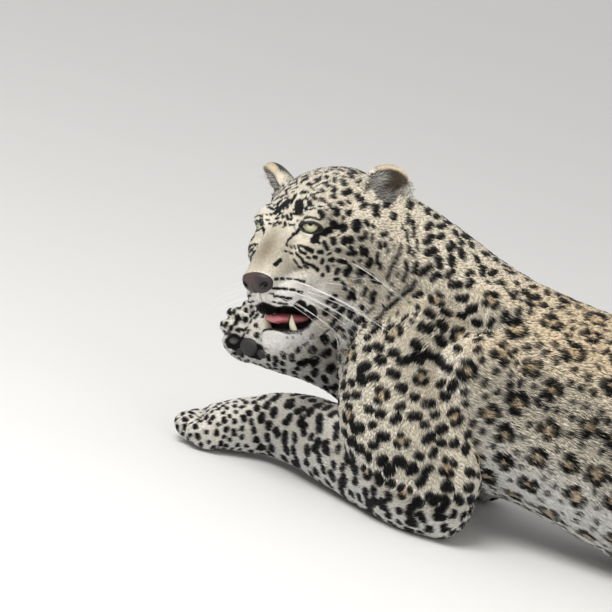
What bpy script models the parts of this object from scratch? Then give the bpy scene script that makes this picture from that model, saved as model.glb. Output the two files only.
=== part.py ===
"""A leopard lying on its belly with its head turned to its left, as a life-size still model.

The animal faces -X, its left side is -Y and the floor is z = 0. Shapes are written in centimetres in a
working frame that has its origin on the floor under the withers, and are scaled to metres as the meshes are
made. The last step moves the whole model so that the middle of its footprint is the origin.
"""

import math

import bmesh
import bpy
import numpy as np
from mathutils import Matrix, Vector

# Driving dimensions, in centimetres and degrees
cm = 0.01
seam = 0.035  # gap kept between neighbouring nodes
floorHeight = 0.25  # where the flats that it rests on are cut
skinVoxel = 0.26  # size of the cells that fuse the flesh
evenTriangles = 12300  # after the first, even thinning, which the head keeps
fleshTriangles = 4950  # after the second, which spares the head

# Where the nose is, and how the head is turned: to the left, nose down, left ear up
nosePlace = Vector((-26.7, -17.0, 25.4))
headYaw, headPitch, headRoll = 72.5, -14.0, -17.0

eyeRadius = 1.62
eyeCentre = Vector((8.75, 2.95, 3.35))  # from the nose: back, aside, up
lidThickness = 0.40
earCentre = Vector((18.4, 7.3, 5.2))
earRadii = (1.75, 3.2, 3.8)
mouthCorner, cornerHeight = 6.6, -7.1  # how far back the lips meet, and how high

fleshColour = (0.72, 0.58, 0.40)
paleColour = (0.80, 0.75, 0.66)
noseColour = (0.10, 0.055, 0.05)
irisColour = (0.62, 0.62, 0.40)
tongueColour = (0.62, 0.22, 0.24)
toothColour = (0.83, 0.78, 0.62)


def headMatrix():
    turn = Matrix.Rotation(math.radians(headYaw), 4, "Z")
    turn = turn @ Matrix.Rotation(math.radians(headPitch), 4, "Y")
    turn = turn @ Matrix.Rotation(math.radians(headRoll), 4, "X")
    return Matrix.Translation(nosePlace) @ turn


def curvePoints(stations, steps):
    """Catmull-Rom rows between the stations, each row as long as a station."""
    rows = np.array(stations, float)
    padded = np.vstack([2 * rows[0] - rows[1], rows, 2 * rows[-1] - rows[-2]])
    out = []
    for i in range(1, len(padded) - 2):
        a, b, c, d = padded[i - 1 : i + 3]
        for t in np.linspace(0, 1, steps, endpoint=False):
            square = (2 * a - 5 * b + 4 * c - d) * t * t
            cube = (3 * b - a - 3 * c + d) * t**3
            out.append(0.5 * (2 * b + (c - a) * t + square + cube))
    out.append(rows[-1])
    return np.array(out)


def loft(stations, squareness=2.0, steps=4, segments=28, up=(0, 0, 1), endRound=0.7):
    """A closed tube through stations of (x, y, z, half width, half height), with rounded ends."""
    rows = curvePoints(stations, steps)
    places, sizes = rows[:, :3], np.maximum(rows[:, 3:5], 0.05)
    ends = []
    for first, second, flip in ((0, 1, False), (-1, -2, True)):
        out = places[first] - places[second]
        out /= np.linalg.norm(out)
        reach = endRound * sizes[first].min()
        rings = []
        for t in (0.5, 1.0, 1.35):
            rings.append((places[first] + out * reach * math.sin(t), sizes[first] * math.cos(t)))
        ends.append(rings if flip else rings[::-1])
    places = np.vstack([[r[0] for r in ends[0]], places, [r[0] for r in ends[1]]])
    sizes = np.vstack([[r[1] for r in ends[0]], sizes, [r[1] for r in ends[1]]])
    tangents = np.gradient(places, axis=0)
    tangents /= np.linalg.norm(tangents, axis=1)[:, None]
    angles = np.linspace(0, 2 * math.pi, segments, endpoint=False)
    mesh = bmesh.new()
    loops = []
    for place, size, tangent in zip(places, sizes, tangents):
        side = np.cross(tangent, up)
        side /= np.linalg.norm(side)
        top = np.cross(side, tangent)
        ring = []
        for a in angles:
            c, s = math.cos(a), math.sin(a)
            w = math.copysign(abs(c) ** (2 / squareness), c)
            h = math.copysign(abs(s) ** (2 / squareness), s)
            ring.append(mesh.verts.new(place + side * size[0] * w + top * size[1] * h))
        loops.append(ring)
    for one, two in zip(loops, loops[1:]):
        for i in range(segments):
            j = (i + 1) % segments
            mesh.faces.new((one[i], one[j], two[j], two[i]))
    mesh.faces.new(loops[0][::-1])
    mesh.faces.new(loops[-1])
    bmesh.ops.recalc_face_normals(mesh, faces=mesh.faces)
    return mesh


def ball(centre, radii, turn=(0, 0, 0), fineness=4):
    """An ellipsoid with its radii along X, Y and Z, turned by degrees about X, Y and Z."""
    mesh = bmesh.new()
    bmesh.ops.create_icosphere(mesh, subdivisions=fineness, radius=1)
    place = Matrix.Translation(Vector(centre))
    for axis, angle in zip("XYZ", turn):
        place = place @ Matrix.Rotation(math.radians(angle), 4, axis)
    bmesh.ops.transform(mesh, matrix=place @ Matrix.Diagonal((*radii, 1)), verts=mesh.verts)
    return mesh


def bothSides(make):
    """The left and the right copy of a head piece, which make(side) builds with side -1 or +1 along Y."""
    return [make(-1), make(1)]


def headPieces():
    """The flesh of the head without its ears, facing -X from the nose at the origin."""
    pieces = [
        # cranium, from the brow to the occiput
        loft(
            [
                (7.5, 0, 1.1, 3.6, 3.3),
                (9.5, 0, 1.3, 5.0, 4.1),
                (12.5, 0, 1.9, 6.2, 5.1),
                (16.0, 0, 2.1, 6.8, 6.1),
                (19.5, 0, 1.5, 6.5, 6.2),
                (22.0, 0, 0.6, 5.0, 5.0),
            ],
            squareness=2.2,
        ),
        # bridge of the nose, running up into the forehead
        loft(
            [
                (0.9, 0, -1.1, 2.1, 1.35),
                (2.6, 0, -0.7, 2.2, 2.0),
                (5.0, 0, 0.5, 2.3, 2.4),
                (7.5, 0, 1.8, 2.7, 2.6),
                (10.0, 0, 3.0, 3.7, 2.8),
                (13.0, 0, 4.3, 4.7, 3.0),
            ],
            squareness=2.6,
        ),
        # core of the upper jaw
        loft(
            [
                (1.8, 0, -2.6, 2.0, 1.4),
                (4.0, 0, -2.9, 3.3, 2.1),
                (7.5, 0, -2.8, 4.4, 2.6),
                (11.0, 0, -2.6, 5.4, 3.3),
                (15.0, 0, -2.4, 6.1, 4.0),
            ],
            squareness=2.3,
        ),
        # lower jaw and chin, dropped a little
        loft(
            [
                (2.9, 0, -8.2, 2.0, 1.6),
                (4.6, 0, -8.5, 2.7, 1.8),
                (7.5, 0, -8.4, 3.5, 2.0),
                (11.0, 0, -7.4, 4.5, 2.8),
                (15.5, 0, -5.4, 5.2, 4.0),
            ],
            squareness=2.4,
        ),
        ball((3.5, 0, -8.9), (2.1, 2.2, 1.45)),
    ]
    pieces += bothSides(lambda s: ball((3.8, 1.75 * s, -3.2), (2.7, 1.85, 2.05), (0, -10, 26 * s)))
    pieces += bothSides(lambda s: ball((6.2, 3.1 * s, -4.4), (2.4, 1.3, 2.6), (0, 20, 16 * s)))
    pieces += bothSides(lambda s: ball((7.6, 3.5 * s, 0.6), (3.0, 1.9, 2.3), (0, -15, 25 * s)))
    pieces += bothSides(lambda s: ball((12.6, 5.2 * s, 0.2), (4.8, 2.5, 3.1), (0, -10, 14 * s)))
    pieces += bothSides(lambda s: ball((14.6, 4.9 * s, -3.0), (4.8, 3.0, 4.8), (0, -12, 6 * s)))
    pieces += bothSides(lambda s: ball((10.2, 4.3 * s, -3.6), (3.8, 2.2, 3.4), (0, 0, 12 * s)))
    pieces += bothSides(lambda s: ball((7.4, 3.3 * s, -1.7), (2.6, 1.8, 1.9), (0, 0, 14 * s)))
    pieces += bothSides(lambda s: ball((9.2, 3.3 * s, 4.2), (2.3, 1.9, 1.25), (0, -28, 18 * s)))
    pieces += bothSides(lambda s: ball((17.6, 6.0 * s, 3.4), (2.6, 2.4, 2.8)))
    pieces.append(loft([(3.4, 0, -5.9, 2.2, 1.4), (6.5, 0, -6.2, 3.2, 1.5), (10.0, 0, -5.8, 4.2, 1.8)]))
    pieces += bothSides(lambda s: ball(signed(eyeCentre, s), (eyeRadius + lidThickness,) * 3))
    return pieces


def signed(place, side):
    return Vector((place.x, place.y * side, place.z))


def turned(angles):
    """The rotation by degrees about X, then Y, then Z of a piece's own axes."""
    turn = Matrix.Identity(3)
    for axis, angle in zip("XYZ", angles):
        turn = turn @ Matrix.Rotation(math.radians(angle), 3, axis)
    return turn


def earTurn(side):
    """The ear leans out and back, and its cup looks forward and out."""
    return (-34 * side, 4, -42 * side)


def ear(side, grow=0.0):
    return ball(signed(earCentre, side), [r + grow for r in earRadii], earTurn(side), 3)


def earCanal(side):
    """The hollow in the side of the head under the front of the ear."""
    centre = signed(earCentre, side) + turned(earTurn(side)) @ Vector((-0.5, 0, -1.2))
    return ball(centre, (1.9, 2.3, 2.4), earTurn(side), 3)


def earHollow(side):
    """What is scooped from the ear to leave its thin cup, open to the front."""
    centre = signed(earCentre, side) + turned(earTurn(side)) @ Vector((-1.2, 0, 0.15))
    return ball(centre, (earRadii[0] + 0.6, earRadii[1] - 0.4, earRadii[2] - 0.45), earTurn(side), 3)


def lidOpening(side):
    """The almond between the lids, slanting up to its outer corner."""
    turn = turned((0, 0, -36 * side)) @ turned((-16 * side, 12, 0))
    centre = signed(eyeCentre, side) + turn @ Vector((-eyeRadius, 0, 0.05))
    mesh = bmesh.new()
    bmesh.ops.create_icosphere(mesh, subdivisions=3, radius=1)
    place = Matrix.Translation(centre) @ turn.to_4x4() @ Matrix.Diagonal((1.1, 1.42, 0.74, 1))
    bmesh.ops.transform(mesh, matrix=place, verts=mesh.verts)
    return mesh


def smoothStep(low, high, value):
    t = np.clip((value - low) / (high - low), 0, 1)
    return t * t * (3 - 2 * t)


def lipHeights(x, y):
    """Heights of both lips' edges at a point of the mouth, and inside it of the palate and the floor."""
    aside = np.minimum(np.abs(y) / 2.6, 1) ** 1.3
    upper = -3.8 - 1.3 * aside - 0.1 * x - 1.25 * smoothStep(3.4, mouthCorner, x)
    lower = -6.45 - 0.28 * (x - 1.6)
    inside = smoothStep(2.9, 2.3, np.abs(y)) * smoothStep(1.5, 2.8, x) * smoothStep(8.4, 6.8, x)
    behind = cornerHeight - 1.25 * (x - mouthCorner)
    thin = 1.7 * seam  # as high as this, the steep cut is one seam wide
    upper = np.where(x < mouthCorner, upper, behind)
    lower = np.where(x < mouthCorner, np.minimum(lower, upper - thin), behind - thin)
    return upper + 1.0 * inside, lower - 0.8 * inside


def mouthGap():
    """The space between the lips and the hollow of the mouth, with the thin cut from its corner to the throat."""
    across = np.linspace(-7, 7, 29)
    along = [np.linspace(-3, 0.5, 3), np.linspace(1, mouthCorner, 9), np.linspace(7.2, 11, 4)]
    along = np.concatenate(along)
    mesh = bmesh.new()
    upper, lower = [], []
    for x in along:
        top, bottom = lipHeights(np.full_like(across, x), across)
        upper.append([mesh.verts.new((x, y, z)) for y, z in zip(across, top)])
        lower.append([mesh.verts.new((x, y, z)) for y, z in zip(across, bottom)])
    rows, columns = len(along) - 1, len(across) - 1
    for i in range(rows):
        for j in range(columns):
            for grid, flip in ((upper, 1), (lower, -1)):
                corners = (grid[i][j], grid[i + 1][j], grid[i + 1][j + 1], grid[i][j + 1])
                a, b, c, d = corners[::flip]
                mesh.faces.new((a, b, c))
                mesh.faces.new((a, c, d))
    for i in range(rows):
        for j in (0, columns):
            mesh.faces.new((upper[i][j], upper[i + 1][j], lower[i + 1][j], lower[i][j]))
    for j in range(columns):
        for i in (0, rows):
            mesh.faces.new((upper[i][j], upper[i][j + 1], lower[i][j + 1], lower[i][j]))
    bmesh.ops.recalc_face_normals(mesh, faces=mesh.faces)
    return mesh


def tongue(grow=0.0):
    stations = [(7.4, 0, -7.5, 1.8, 0.6), (6.0, 0, -7.1, 1.8, 0.65), (4.4, 0, -6.6, 1.6, 0.6),
                (3.1, 0, -6.2, 1.25, 0.45)]
    return loft(onSide(stations, -1, grow), segments=10, steps=2)


def lowerCanine(side, grow=0.0):
    stations = [(4.4, 1.75, -8.6, 0.42, 0.42), (3.95, 1.85, -7.3, 0.38, 0.38), (3.9, 1.9, -6.6, 0.26, 0.26),
                (4.05, 1.9, -6.05, 0.1, 0.1)]
    return loft(onSide(stations, -side, grow), segments=6, steps=1, up=(1, 0, 0))


def nosePad(grow=0.0):
    """The space that the bare nose pad fills at the tip of the muzzle."""
    return ball((0.55, 0, -1.15), (1.25 + grow, 2.35 + grow, 1.3 + grow), (0, 20, 0), 3)


def nostril(side):
    return ball((0.15, 1.3 * side, -1.25), (0.8, 0.42, 0.34), (25 * side, 0, 40 * side), 2)


# Upper arm, forearm, thigh, shank and foot as (x, y, z, half width, half height) on the left side. The left
# forearm lies flat and crosses inward; the right one rises from its elbow to a lifted wrist.
upperArm = [(-4.0, -6.6, 23.5, 8.2, 4.2), (-6.3, -8.8, 17.0, 8.9, 5.2), (-4.4, -11.0, 10.8, 8.2, 5.3),
            (0.9, -12.4, 5.6, 5.4, 4.7)]
leftForearm = [(2.2, -12.8, 4.6, 4.0, 4.4), (-2.5, -11.6, 5.4, 5.2, 5.5), (-8.5, -7.8, 5.8, 5.0, 5.7),
               (-14.0, -4.4, 5.6, 4.6, 5.0), (-19.5, -0.8, 5.3, 4.2, 4.5), (-24.3, 1.0, 4.5, 3.9, 3.8)]
rightForearm = [(2.6, 12.2, 4.4, 4.0, 4.4), (-3.0, 12.4, 6.2, 4.9, 5.1), (-9.0, 12.6, 8.2, 4.5, 4.7),
                (-15.0, 12.6, 9.9, 3.9, 4.1), (-20.0, 12.4, 11.4, 3.4, 3.7), (-24.3, 12.2, 12.0, 3.5, 3.6)]
thigh = [(60.0, -7.0, 17.0, 8.5, 5.0), (53.0, -10.0, 14.5, 9.6, 5.6), (45.0, -12.2, 11.5, 8.4, 5.0),
         (39.0, -13.2, 9.0, 6.0, 4.2)]
shank = [(40.0, -13.4, 7.5, 4.6, 5.4), (47.0, -13.6, 6.4, 3.9, 5.2), (55.0, -13.2, 5.2, 3.1, 4.2),
         (62.5, -12.6, 4.2, 2.3, 3.2), (66.0, -12.4, 3.4, 2.1, 2.6)]
hindFoot = [(66.5, -12.5, 2.7, 2.2, 2.5), (60.0, -13.6, 2.2, 2.2, 2.3), (52.0, -15.2, 2.1, 2.5, 2.3),
            (45.5, -16.4, 2.2, 3.1, 2.5), (41.5, -17.0, 2.1, 3.3, 2.3)]


def onSide(stations, side, grow=0.0):
    """The left side's stations on either side of the body, with their sections grown."""
    return [(x, -y * side, z, w + grow, h + grow) for x, y, z, w, h in stations]


def triceps(side, grow=0.0, fineness=4):
    """The muscle behind the upper arm, from the shoulder blade to the elbow."""
    radii = (6.6 + grow, 4.7 + grow, 10.2 + grow)
    return ball((0.4, 8.6 * side, 15.4), radii, (-14 * side, 8, 0), fineness)


def haunch(side, grow=0.0, fineness=4):
    """The muscle of the thigh, widest in front of the hip."""
    radii = (10.5 + grow, 5.6 + grow, 9.6 + grow)
    return ball((51.0, 10.6 * side, 12.4), radii, (-12 * side, 16, 0), fineness)


def foreleg(side):
    """Shoulder blade, upper arm with its muscle, and forearm."""
    forearm = leftForearm if side < 0 else onSide(rightForearm, -1)
    return [
        ball((-1.0, 5.4 * side, 25.6), (6.8, 2.8, 4.8)),
        loft(onSide(upperArm, side), up=(0, -1, 0)),
        loft(forearm),
        triceps(side),
    ]


def forepaw():
    """A paw with four toes, along -X from the wrist at the origin, sole down."""
    pieces = [
        loft([(0.5, 0, 0, 3.4, 3.6), (-3.0, 0, -0.7, 3.8, 3.2), (-6.4, 0, -1.5, 4.0, 2.5)], squareness=2.4),
    ]
    spread = (-2.85, -0.98, 0.98, 2.85)
    reach = (-7.9, -9.0, -8.9, -7.6)
    for y, x in zip(spread, reach):
        pieces.append(ball((x, y, -2.1), (2.5, 1.2, 1.75), (0, 10, 4 * y)))
    return pieces


leftWrist = Matrix.Translation((-24.3, 1.0, 4.4)) @ Matrix.Rotation(math.radians(25), 4, "Z")
rightWrist = (
    Matrix.Translation((-24.3, 12.2, 11.9))
    @ Matrix.Rotation(math.radians(4), 4, "Z")
    @ Matrix.Rotation(math.radians(9), 4, "Y")
    @ Matrix.Rotation(math.radians(64), 4, "X")
)


def hindleg(side):
    """Hip, folded thigh and shank, with the foot and its toes flat beside the belly."""
    toes = []
    for k in range(4):
        place = (38.6 + 0.5 * abs(k - 1.4), (17.2 + (k - 1.5) * 1.7) * side, 1.65)
        toes.append(ball(place, (2.7, 1.1, 1.7)))
    return [
        ball((57.5, 5.2 * side, 23.0), (5.6, 3.4, 3.8)),
        haunch(side),
        loft(onSide(thigh, side), up=(0, -1, 0)),
        loft(onSide(shank, side)),
        loft(onSide(hindFoot, side), squareness=2.3),
    ] + toes


tailRoute = [
    (68.0, 0.5, 16.0, 4.6, 4.8),
    (73.0, 0.6, 11.5, 3.8, 3.8),
    (78.5, 0.2, 6.6, 3.1, 3.1),
    (84.5, -2.0, 3.3, 2.8, 2.8),
    (89.5, -7.5, 2.6, 2.7, 2.7),
    (91.5, -15.0, 2.6, 2.7, 2.7),
    (89.0, -23.0, 2.6, 2.7, 2.7),
    (82.0, -29.0, 2.5, 2.6, 2.6),
    (73.0, -31.5, 2.4, 2.5, 2.5),
    (64.0, -30.5, 2.4, 2.4, 2.4),
    (56.5, -27.6, 2.3, 2.2, 2.2),
    (52.0, -26.0, 2.1, 1.6, 1.7),
]


def bodyPieces():
    """Trunk, neck, legs and tail."""
    pieces = [
        # trunk
        loft(
            [
                (-13.5, -0.5, 16.6, 6.4, 7.2),
                (-9.0, -0.3, 17.6, 8.8, 9.8),
                (-3.0, 0, 18.0, 9.8, 11.8),
                (3.0, 0, 17.3, 11.0, 12.6),
                (11.0, 0, 16.6, 12.0, 12.4),
                (20.0, 0, 15.3, 12.6, 13.2),
                (30.0, 0, 14.3, 12.5, 14.2),
                (41.0, 0, 13.9, 11.0, 14.5),
                (52.0, 0, 14.5, 10.6, 13.2),
                (60.0, 0, 15.3, 9.8, 11.3),
                (66.0, 0, 15.6, 7.8, 8.8),
                (69.5, 0, 15.8, 5.0, 5.8),
            ],
            squareness=2.2,
            segments=40,
        ),
        # neck, which turns with the head
        loft(
            [
                (3.0, 0.5, 19.6, 8.2, 10.6),
                (-5.0, 0.2, 22.0, 8.8, 10.6),
                (-11.0, -0.5, 25.0, 8.7, 10.2),
                (-15.8, -1.6, 27.8, 8.2, 9.3),
                (-19.5, -3.2, 29.7, 7.4, 7.9),
            ],
            squareness=2.1,
            segments=36,
        ),
        # ridge over the shoulder blades and the spine
        loft([(-12.0, 0, 29.0, 5.0, 5.8), (-4.0, 0, 27.0, 5.2, 5.4), (4.0, 0, 25.4, 5.0, 5.2),
              (16.0, 0, 24.4, 5.0, 5.0), (34.0, 0, 23.8, 5.0, 5.0), (52.0, 0, 23.0, 5.0, 4.8)]),
        loft(tailRoute, steps=5),
    ]
    for side in (-1, 1):
        pieces += foreleg(side) + hindleg(side)
    return pieces + placed(forepaw(), leftWrist) + placed(forepaw(), rightWrist)


def placed(pieces, matrix):
    for piece in pieces:
        bmesh.ops.transform(piece, matrix=matrix, verts=piece.verts)
    return pieces


def material(name, colour, roughness):
    made = bpy.data.materials.new(name)
    made.use_nodes = True
    shader = made.node_tree.nodes["Principled BSDF"]
    shader.inputs["Base Color"].default_value = (*colour, 1)
    shader.inputs["Roughness"].default_value = roughness
    return made


def objectFrom(name, pieces, scale=1.0):
    """One object that holds all the pieces as loose shells."""
    whole = bmesh.new()
    for piece in pieces:
        mesh = bpy.data.meshes.new("piece")
        piece.to_mesh(mesh)
        piece.free()
        whole.from_mesh(mesh)
        bpy.data.meshes.remove(mesh)
    bmesh.ops.scale(whole, vec=(scale,) * 3, verts=whole.verts)
    mesh = bpy.data.meshes.new(name)
    whole.to_mesh(mesh)
    whole.free()
    made = bpy.data.objects.new(name, mesh)
    bpy.context.scene.collection.objects.link(made)
    return made


def applied(thing):
    """Bakes the object's modifiers into its mesh."""
    graph = bpy.context.evaluated_depsgraph_get()
    mesh = bpy.data.meshes.new_from_object(thing.evaluated_get(graph))
    old = thing.data
    thing.modifiers.clear()
    thing.data = mesh
    bpy.data.meshes.remove(old)
    return thing


def fused(thing, voxel, smoothing):
    """Fuses the loose shells into one skin and softens where they meet."""
    remesh = thing.modifiers.new("fuse", "REMESH")
    remesh.mode = "VOXEL"
    remesh.voxel_size = voxel
    soften = thing.modifiers.new("soften", "SMOOTH")
    soften.factor = 0.5
    soften.iterations = smoothing
    return applied(thing)


def pointsOf(thing):
    flat = np.empty(len(thing.data.vertices) * 3, np.float32)
    thing.data.vertices.foreach_get("co", flat)
    return flat.reshape(-1, 3).astype(float)


def setPoints(thing, points):
    thing.data.vertices.foreach_set("co", points.astype(np.float32).ravel())
    thing.data.update()


def box(low, high):
    mesh = bmesh.new()
    bmesh.ops.create_cube(mesh, size=1)
    middle = (Vector(low) + Vector(high)) / 2
    size = Vector(high) - Vector(low)
    place = Matrix.Translation(middle) @ Matrix.Diagonal((*size, 1))
    bmesh.ops.transform(mesh, matrix=place, verts=mesh.verts)
    return mesh


def hull(pieces):
    """The convex hull of some pieces, as one new piece."""
    points = bmesh.new()
    for piece in pieces:
        for v in piece.verts:
            points.verts.new(v.co)
        piece.free()
    bmesh.ops.convex_hull(points, input=points.verts)
    bmesh.ops.delete(points, geom=[v for v in points.verts if not v.link_faces], context="VERTS")
    bmesh.ops.recalc_face_normals(points, faces=points.faces)
    return points


def block(front, back, side, low, high, grow=0.0):
    """A block from x = front, with a sloping back: back holds its x at the low and at the high z."""
    mesh = bmesh.new()
    bmesh.ops.create_cube(mesh, size=2)
    for v in mesh.verts:
        top = v.co.z > 0
        x = front - grow if v.co.x < 0 else (back[1] if top else back[0]) + grow
        v.co = Vector((x, v.co.y * (side + grow), high + grow if top else low - grow))
    return mesh


def cut(thing, pieces, operation="DIFFERENCE", matrix=None):
    """Cuts the object by the closed pieces, given in centimetres, which may be placed by a matrix first."""
    if matrix is not None:
        placed(pieces, matrix)
    for piece in pieces:
        cutter = objectFrom("cutter", [piece], cm)
        boolean = thing.modifiers.new("cut", "BOOLEAN")
        boolean.operation = operation
        boolean.solver = "MANIFOLD"  # the exact solver loses whole pieces of the dense flesh
        boolean.object = cutter
        applied(thing)
        mesh = cutter.data
        bpy.data.objects.remove(cutter)
        bpy.data.meshes.remove(mesh)
    return thing


def shells(thing):
    """The object's closed surfaces as sets of vertex numbers, the one with most volume first."""
    mesh = bmesh.new()
    mesh.from_mesh(thing.data)
    left = set(mesh.verts)
    found = []
    while left:
        start = left.pop()
        group = [start]
        stack = [start]
        while stack:
            for edge in stack.pop().link_edges:
                for v in edge.verts:
                    if v in left:
                        left.remove(v)
                        group.append(v)
                        stack.append(v)
        faces = {f for v in group for f in v.link_faces}
        volume = sum(f.verts[0].co.dot(f.normal) * f.calc_area() for f in faces) / 3
        found.append((volume, [v.index for v in group]))
    mesh.free()
    return [group for volume, group in sorted(found, key=lambda shell: -shell[0])]


def keepShell(thing, rank=0):
    """Keeps one of the object's closed surfaces, the largest unless told otherwise."""
    found = shells(thing)
    if len(found) > 1:
        keep = set(found[rank])
        mesh = bmesh.new()
        mesh.from_mesh(thing.data)
        bmesh.ops.delete(mesh, geom=[v for v in mesh.verts if v.index not in keep], context="VERTS")
        mesh.to_mesh(thing.data)
        mesh.free()
    return thing


def copied(thing, name):
    twin = bpy.data.objects.new(name, thing.data.copy())
    bpy.context.scene.collection.objects.link(twin)
    return twin


# The slanting plane where the tail leaves the rump
tailRoot = Matrix.Translation((68.6, 0, 15.5)) @ Matrix.Rotation(math.radians(28), 4, "Y")


def regions():
    """Each node of flesh by name, with a function that gives the space it takes, grown by a gap."""
    head = headMatrix()

    def limb(stations, side, extra, **options):
        def space(grow):
            return [hull([loft(onSide(stations, side, extra + grow), segments=10, steps=1, **options)])]

        return space

    def shoulder(side):
        return lambda grow: [hull([
            loft(onSide(upperArm, side, 0.6 + grow), segments=10, steps=1, up=(0, -1, 0)),
            triceps(side, 0.5 + grow, 2),
        ])]

    def haunches(side):
        return lambda grow: [hull([
            loft(onSide(thigh, side, 0.9 + grow), segments=10, steps=1, up=(0, -1, 0)),
            haunch(side, 0.6 + grow, 2),
        ])]

    def wrist(matrix, size):
        return lambda grow: placed([box((-16, -size, -size), (grow, size, size))], matrix)

    def flatBox(low, high):
        return lambda grow: [box([v - grow for v in low], [v + grow for v in high])]

    rightArm = onSide(rightForearm, -1)
    named = {
        "head": lambda grow: placed([block(-6, (12.8, 21.6), 11, -11.6, 11, grow)], head),
        "forepaw_left": wrist(leftWrist, 6.5),
        "forepaw_right": wrist(rightWrist, 6.5),
        "forearm_left": limb(leftForearm, -1, 0.5),
        "forearm_right": limb(rightArm, -1, 0.5),
        "upper_arm_left": shoulder(-1),
        "upper_arm_right": shoulder(1),
        "neck": lambda grow: [block(-40, (-16.2, -1.6), 14, 15.5, 48, grow)],
        "tail_4": flatBox((40, -45, -2), (80, -22.4, 8)),
        "tail_3": flatBox((75, -45, -2), (100, -13, 12)),
        "tail_2": flatBox((79.5, -14, -2), (100, 10, 14)),
        "tail_1": lambda grow: placed([block(0, (27, 27), 9, -16, 9, grow)], tailRoot),
    }
    for side, name in ((-1, "left"), (1, "right")):
        named["hind_paw_" + name] = limb(hindFoot, side, 1.1, squareness=2.3, endRound=1.3)
        named["shank_" + name] = limb(shank, side, 0.7)
        named["thigh_" + name] = haunches(side)
    named["rump"] = flatBox((47, -30, -2), (90, 30, 40))
    named["chest"] = flatBox((-40, -30, -2), (17, 30, 50))
    return named


# The part of the head that the second thinning spares: back from the nose, to each side, and its heights
faceLength, faceSide, faceLow, faceHigh = 15, 10, -13, 12


def fleshWhole():
    """The whole animal's skin as one closed mesh, denser on the head."""
    flesh = objectFrom("flesh", bodyPieces() + placed(headPieces(), headMatrix()), cm)
    fused(flesh, skinVoxel * cm, 10)
    thinned(flesh, evenTriangles)
    spare = flesh.vertex_groups.new(name="spare")
    local = headMatrix().inverted()
    for v in flesh.data.vertices:
        place = local @ (v.co / cm)
        if not (place.x < faceLength and abs(place.y) < faceSide and faceLow < place.z < faceHigh):
            spare.add([v.index], 1.0, "REPLACE")
    thinned(flesh, fleshTriangles, "spare")
    return cut(flesh, [box((-60, -60, -5), (120, 60, floorHeight))])


def thinned(thing, triangles, group=""):
    count = sum(len(p.vertices) - 2 for p in thing.data.polygons)
    thin = thing.modifiers.new("thin", "DECIMATE")
    thin.ratio = triangles / count
    thin.vertex_group = group
    return applied(thing)


def main():
    for old in list(bpy.data.objects):
        bpy.data.objects.remove(old)
    head = headMatrix()
    flesh = fleshWhole()
    cut(flesh, [mouthGap()], matrix=head)
    jaw = keepShell(copied(flesh, "jaw"), 1)
    keepShell(flesh)
    nodes = [jaw, flesh]
    cut(jaw, [tongue(seam), lowerCanine(-1, seam), lowerCanine(1, seam)], matrix=head)
    cut(flesh, [tongue(seam)], matrix=head)
    nodes.append(objectFrom("tongue", placed([tongue()], head), cm))
    for side, name in ((-1, "left"), (1, "right")):
        cut(flesh, [ear(side, seam), earCanal(side)], matrix=head)
        socket = ball(signed(eyeCentre, side), (eyeRadius,) * 3, fineness=3)
        cut(flesh, [lidOpening(side), socket], matrix=head)
        nodes.append(objectFrom("lower_canine_" + name, placed([lowerCanine(side)], head), cm))
        pinna = objectFrom("ear_" + name, placed([ear(side)], head), cm)
        nodes.append(cut(pinna, [earHollow(side)], matrix=head))
        eye = ball(signed(eyeCentre, side), (eyeRadius - seam,) * 3, fineness=2)
        nodes.append(objectFrom("eye_" + name, placed([eye], head), cm))
    nose = copied(flesh, "nose")
    cut(nose, [nosePad()], "INTERSECT", head)
    cut(nose, [nostril(-1), nostril(1)], matrix=head)
    cut(flesh, [nosePad(seam)], matrix=head)
    nodes.append(nose)
    for name, region in regions().items():
        node = copied(flesh, name)
        cut(node, region(0.0), "INTERSECT")
        nodes.append(keepShell(node))
        cut(flesh, region(seam))
        keepShell(flesh)
    flesh.name = "belly"
    finished(nodes)


finishes = {
    "coat": (fleshColour, 0.85),
    "pale coat": (paleColour, 0.85),
    "nose skin": (noseColour, 0.45),
    "iris": (irisColour, 0.12),
    "tongue flesh": (tongueColour, 0.4),
    "enamel": (toothColour, 0.3),
}


def finishOf(name):
    starts = {"eye": "iris", "nose": "nose skin", "tongue": "tongue flesh", "lower": "enamel"}
    for start, finish in starts.items():
        if name.startswith(start):
            return finish
    return "pale coat" if "paw" in name or name == "jaw" else "coat"


def finished(nodes):
    """Moves the middle of the footprint to the origin and gives every node its material."""
    places = [pointsOf(node) for node in nodes]
    low = np.min([p.min(axis=0) for p in places], axis=0)
    high = np.max([p.max(axis=0) for p in places], axis=0)
    shift = np.array([(low[0] + high[0]) / 2, (low[1] + high[1]) / 2, low[2]])
    for node, points in zip(nodes, places):
        setPoints(node, points - shift)
        node.data.materials.clear()
        finish = finishOf(node.name)
        node.data.materials.append(material(node.name + " " + finish, *finishes[finish]))
        node.data.shade_smooth()
        node.data.set_sharp_from_angle(angle=math.radians(40))


if __name__ == "__main__":
    main()
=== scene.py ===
import math

import bmesh
import bpy
import numpy as np
from mathutils import Matrix, Vector
from mathutils.bvhtree import BVHTree


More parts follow.
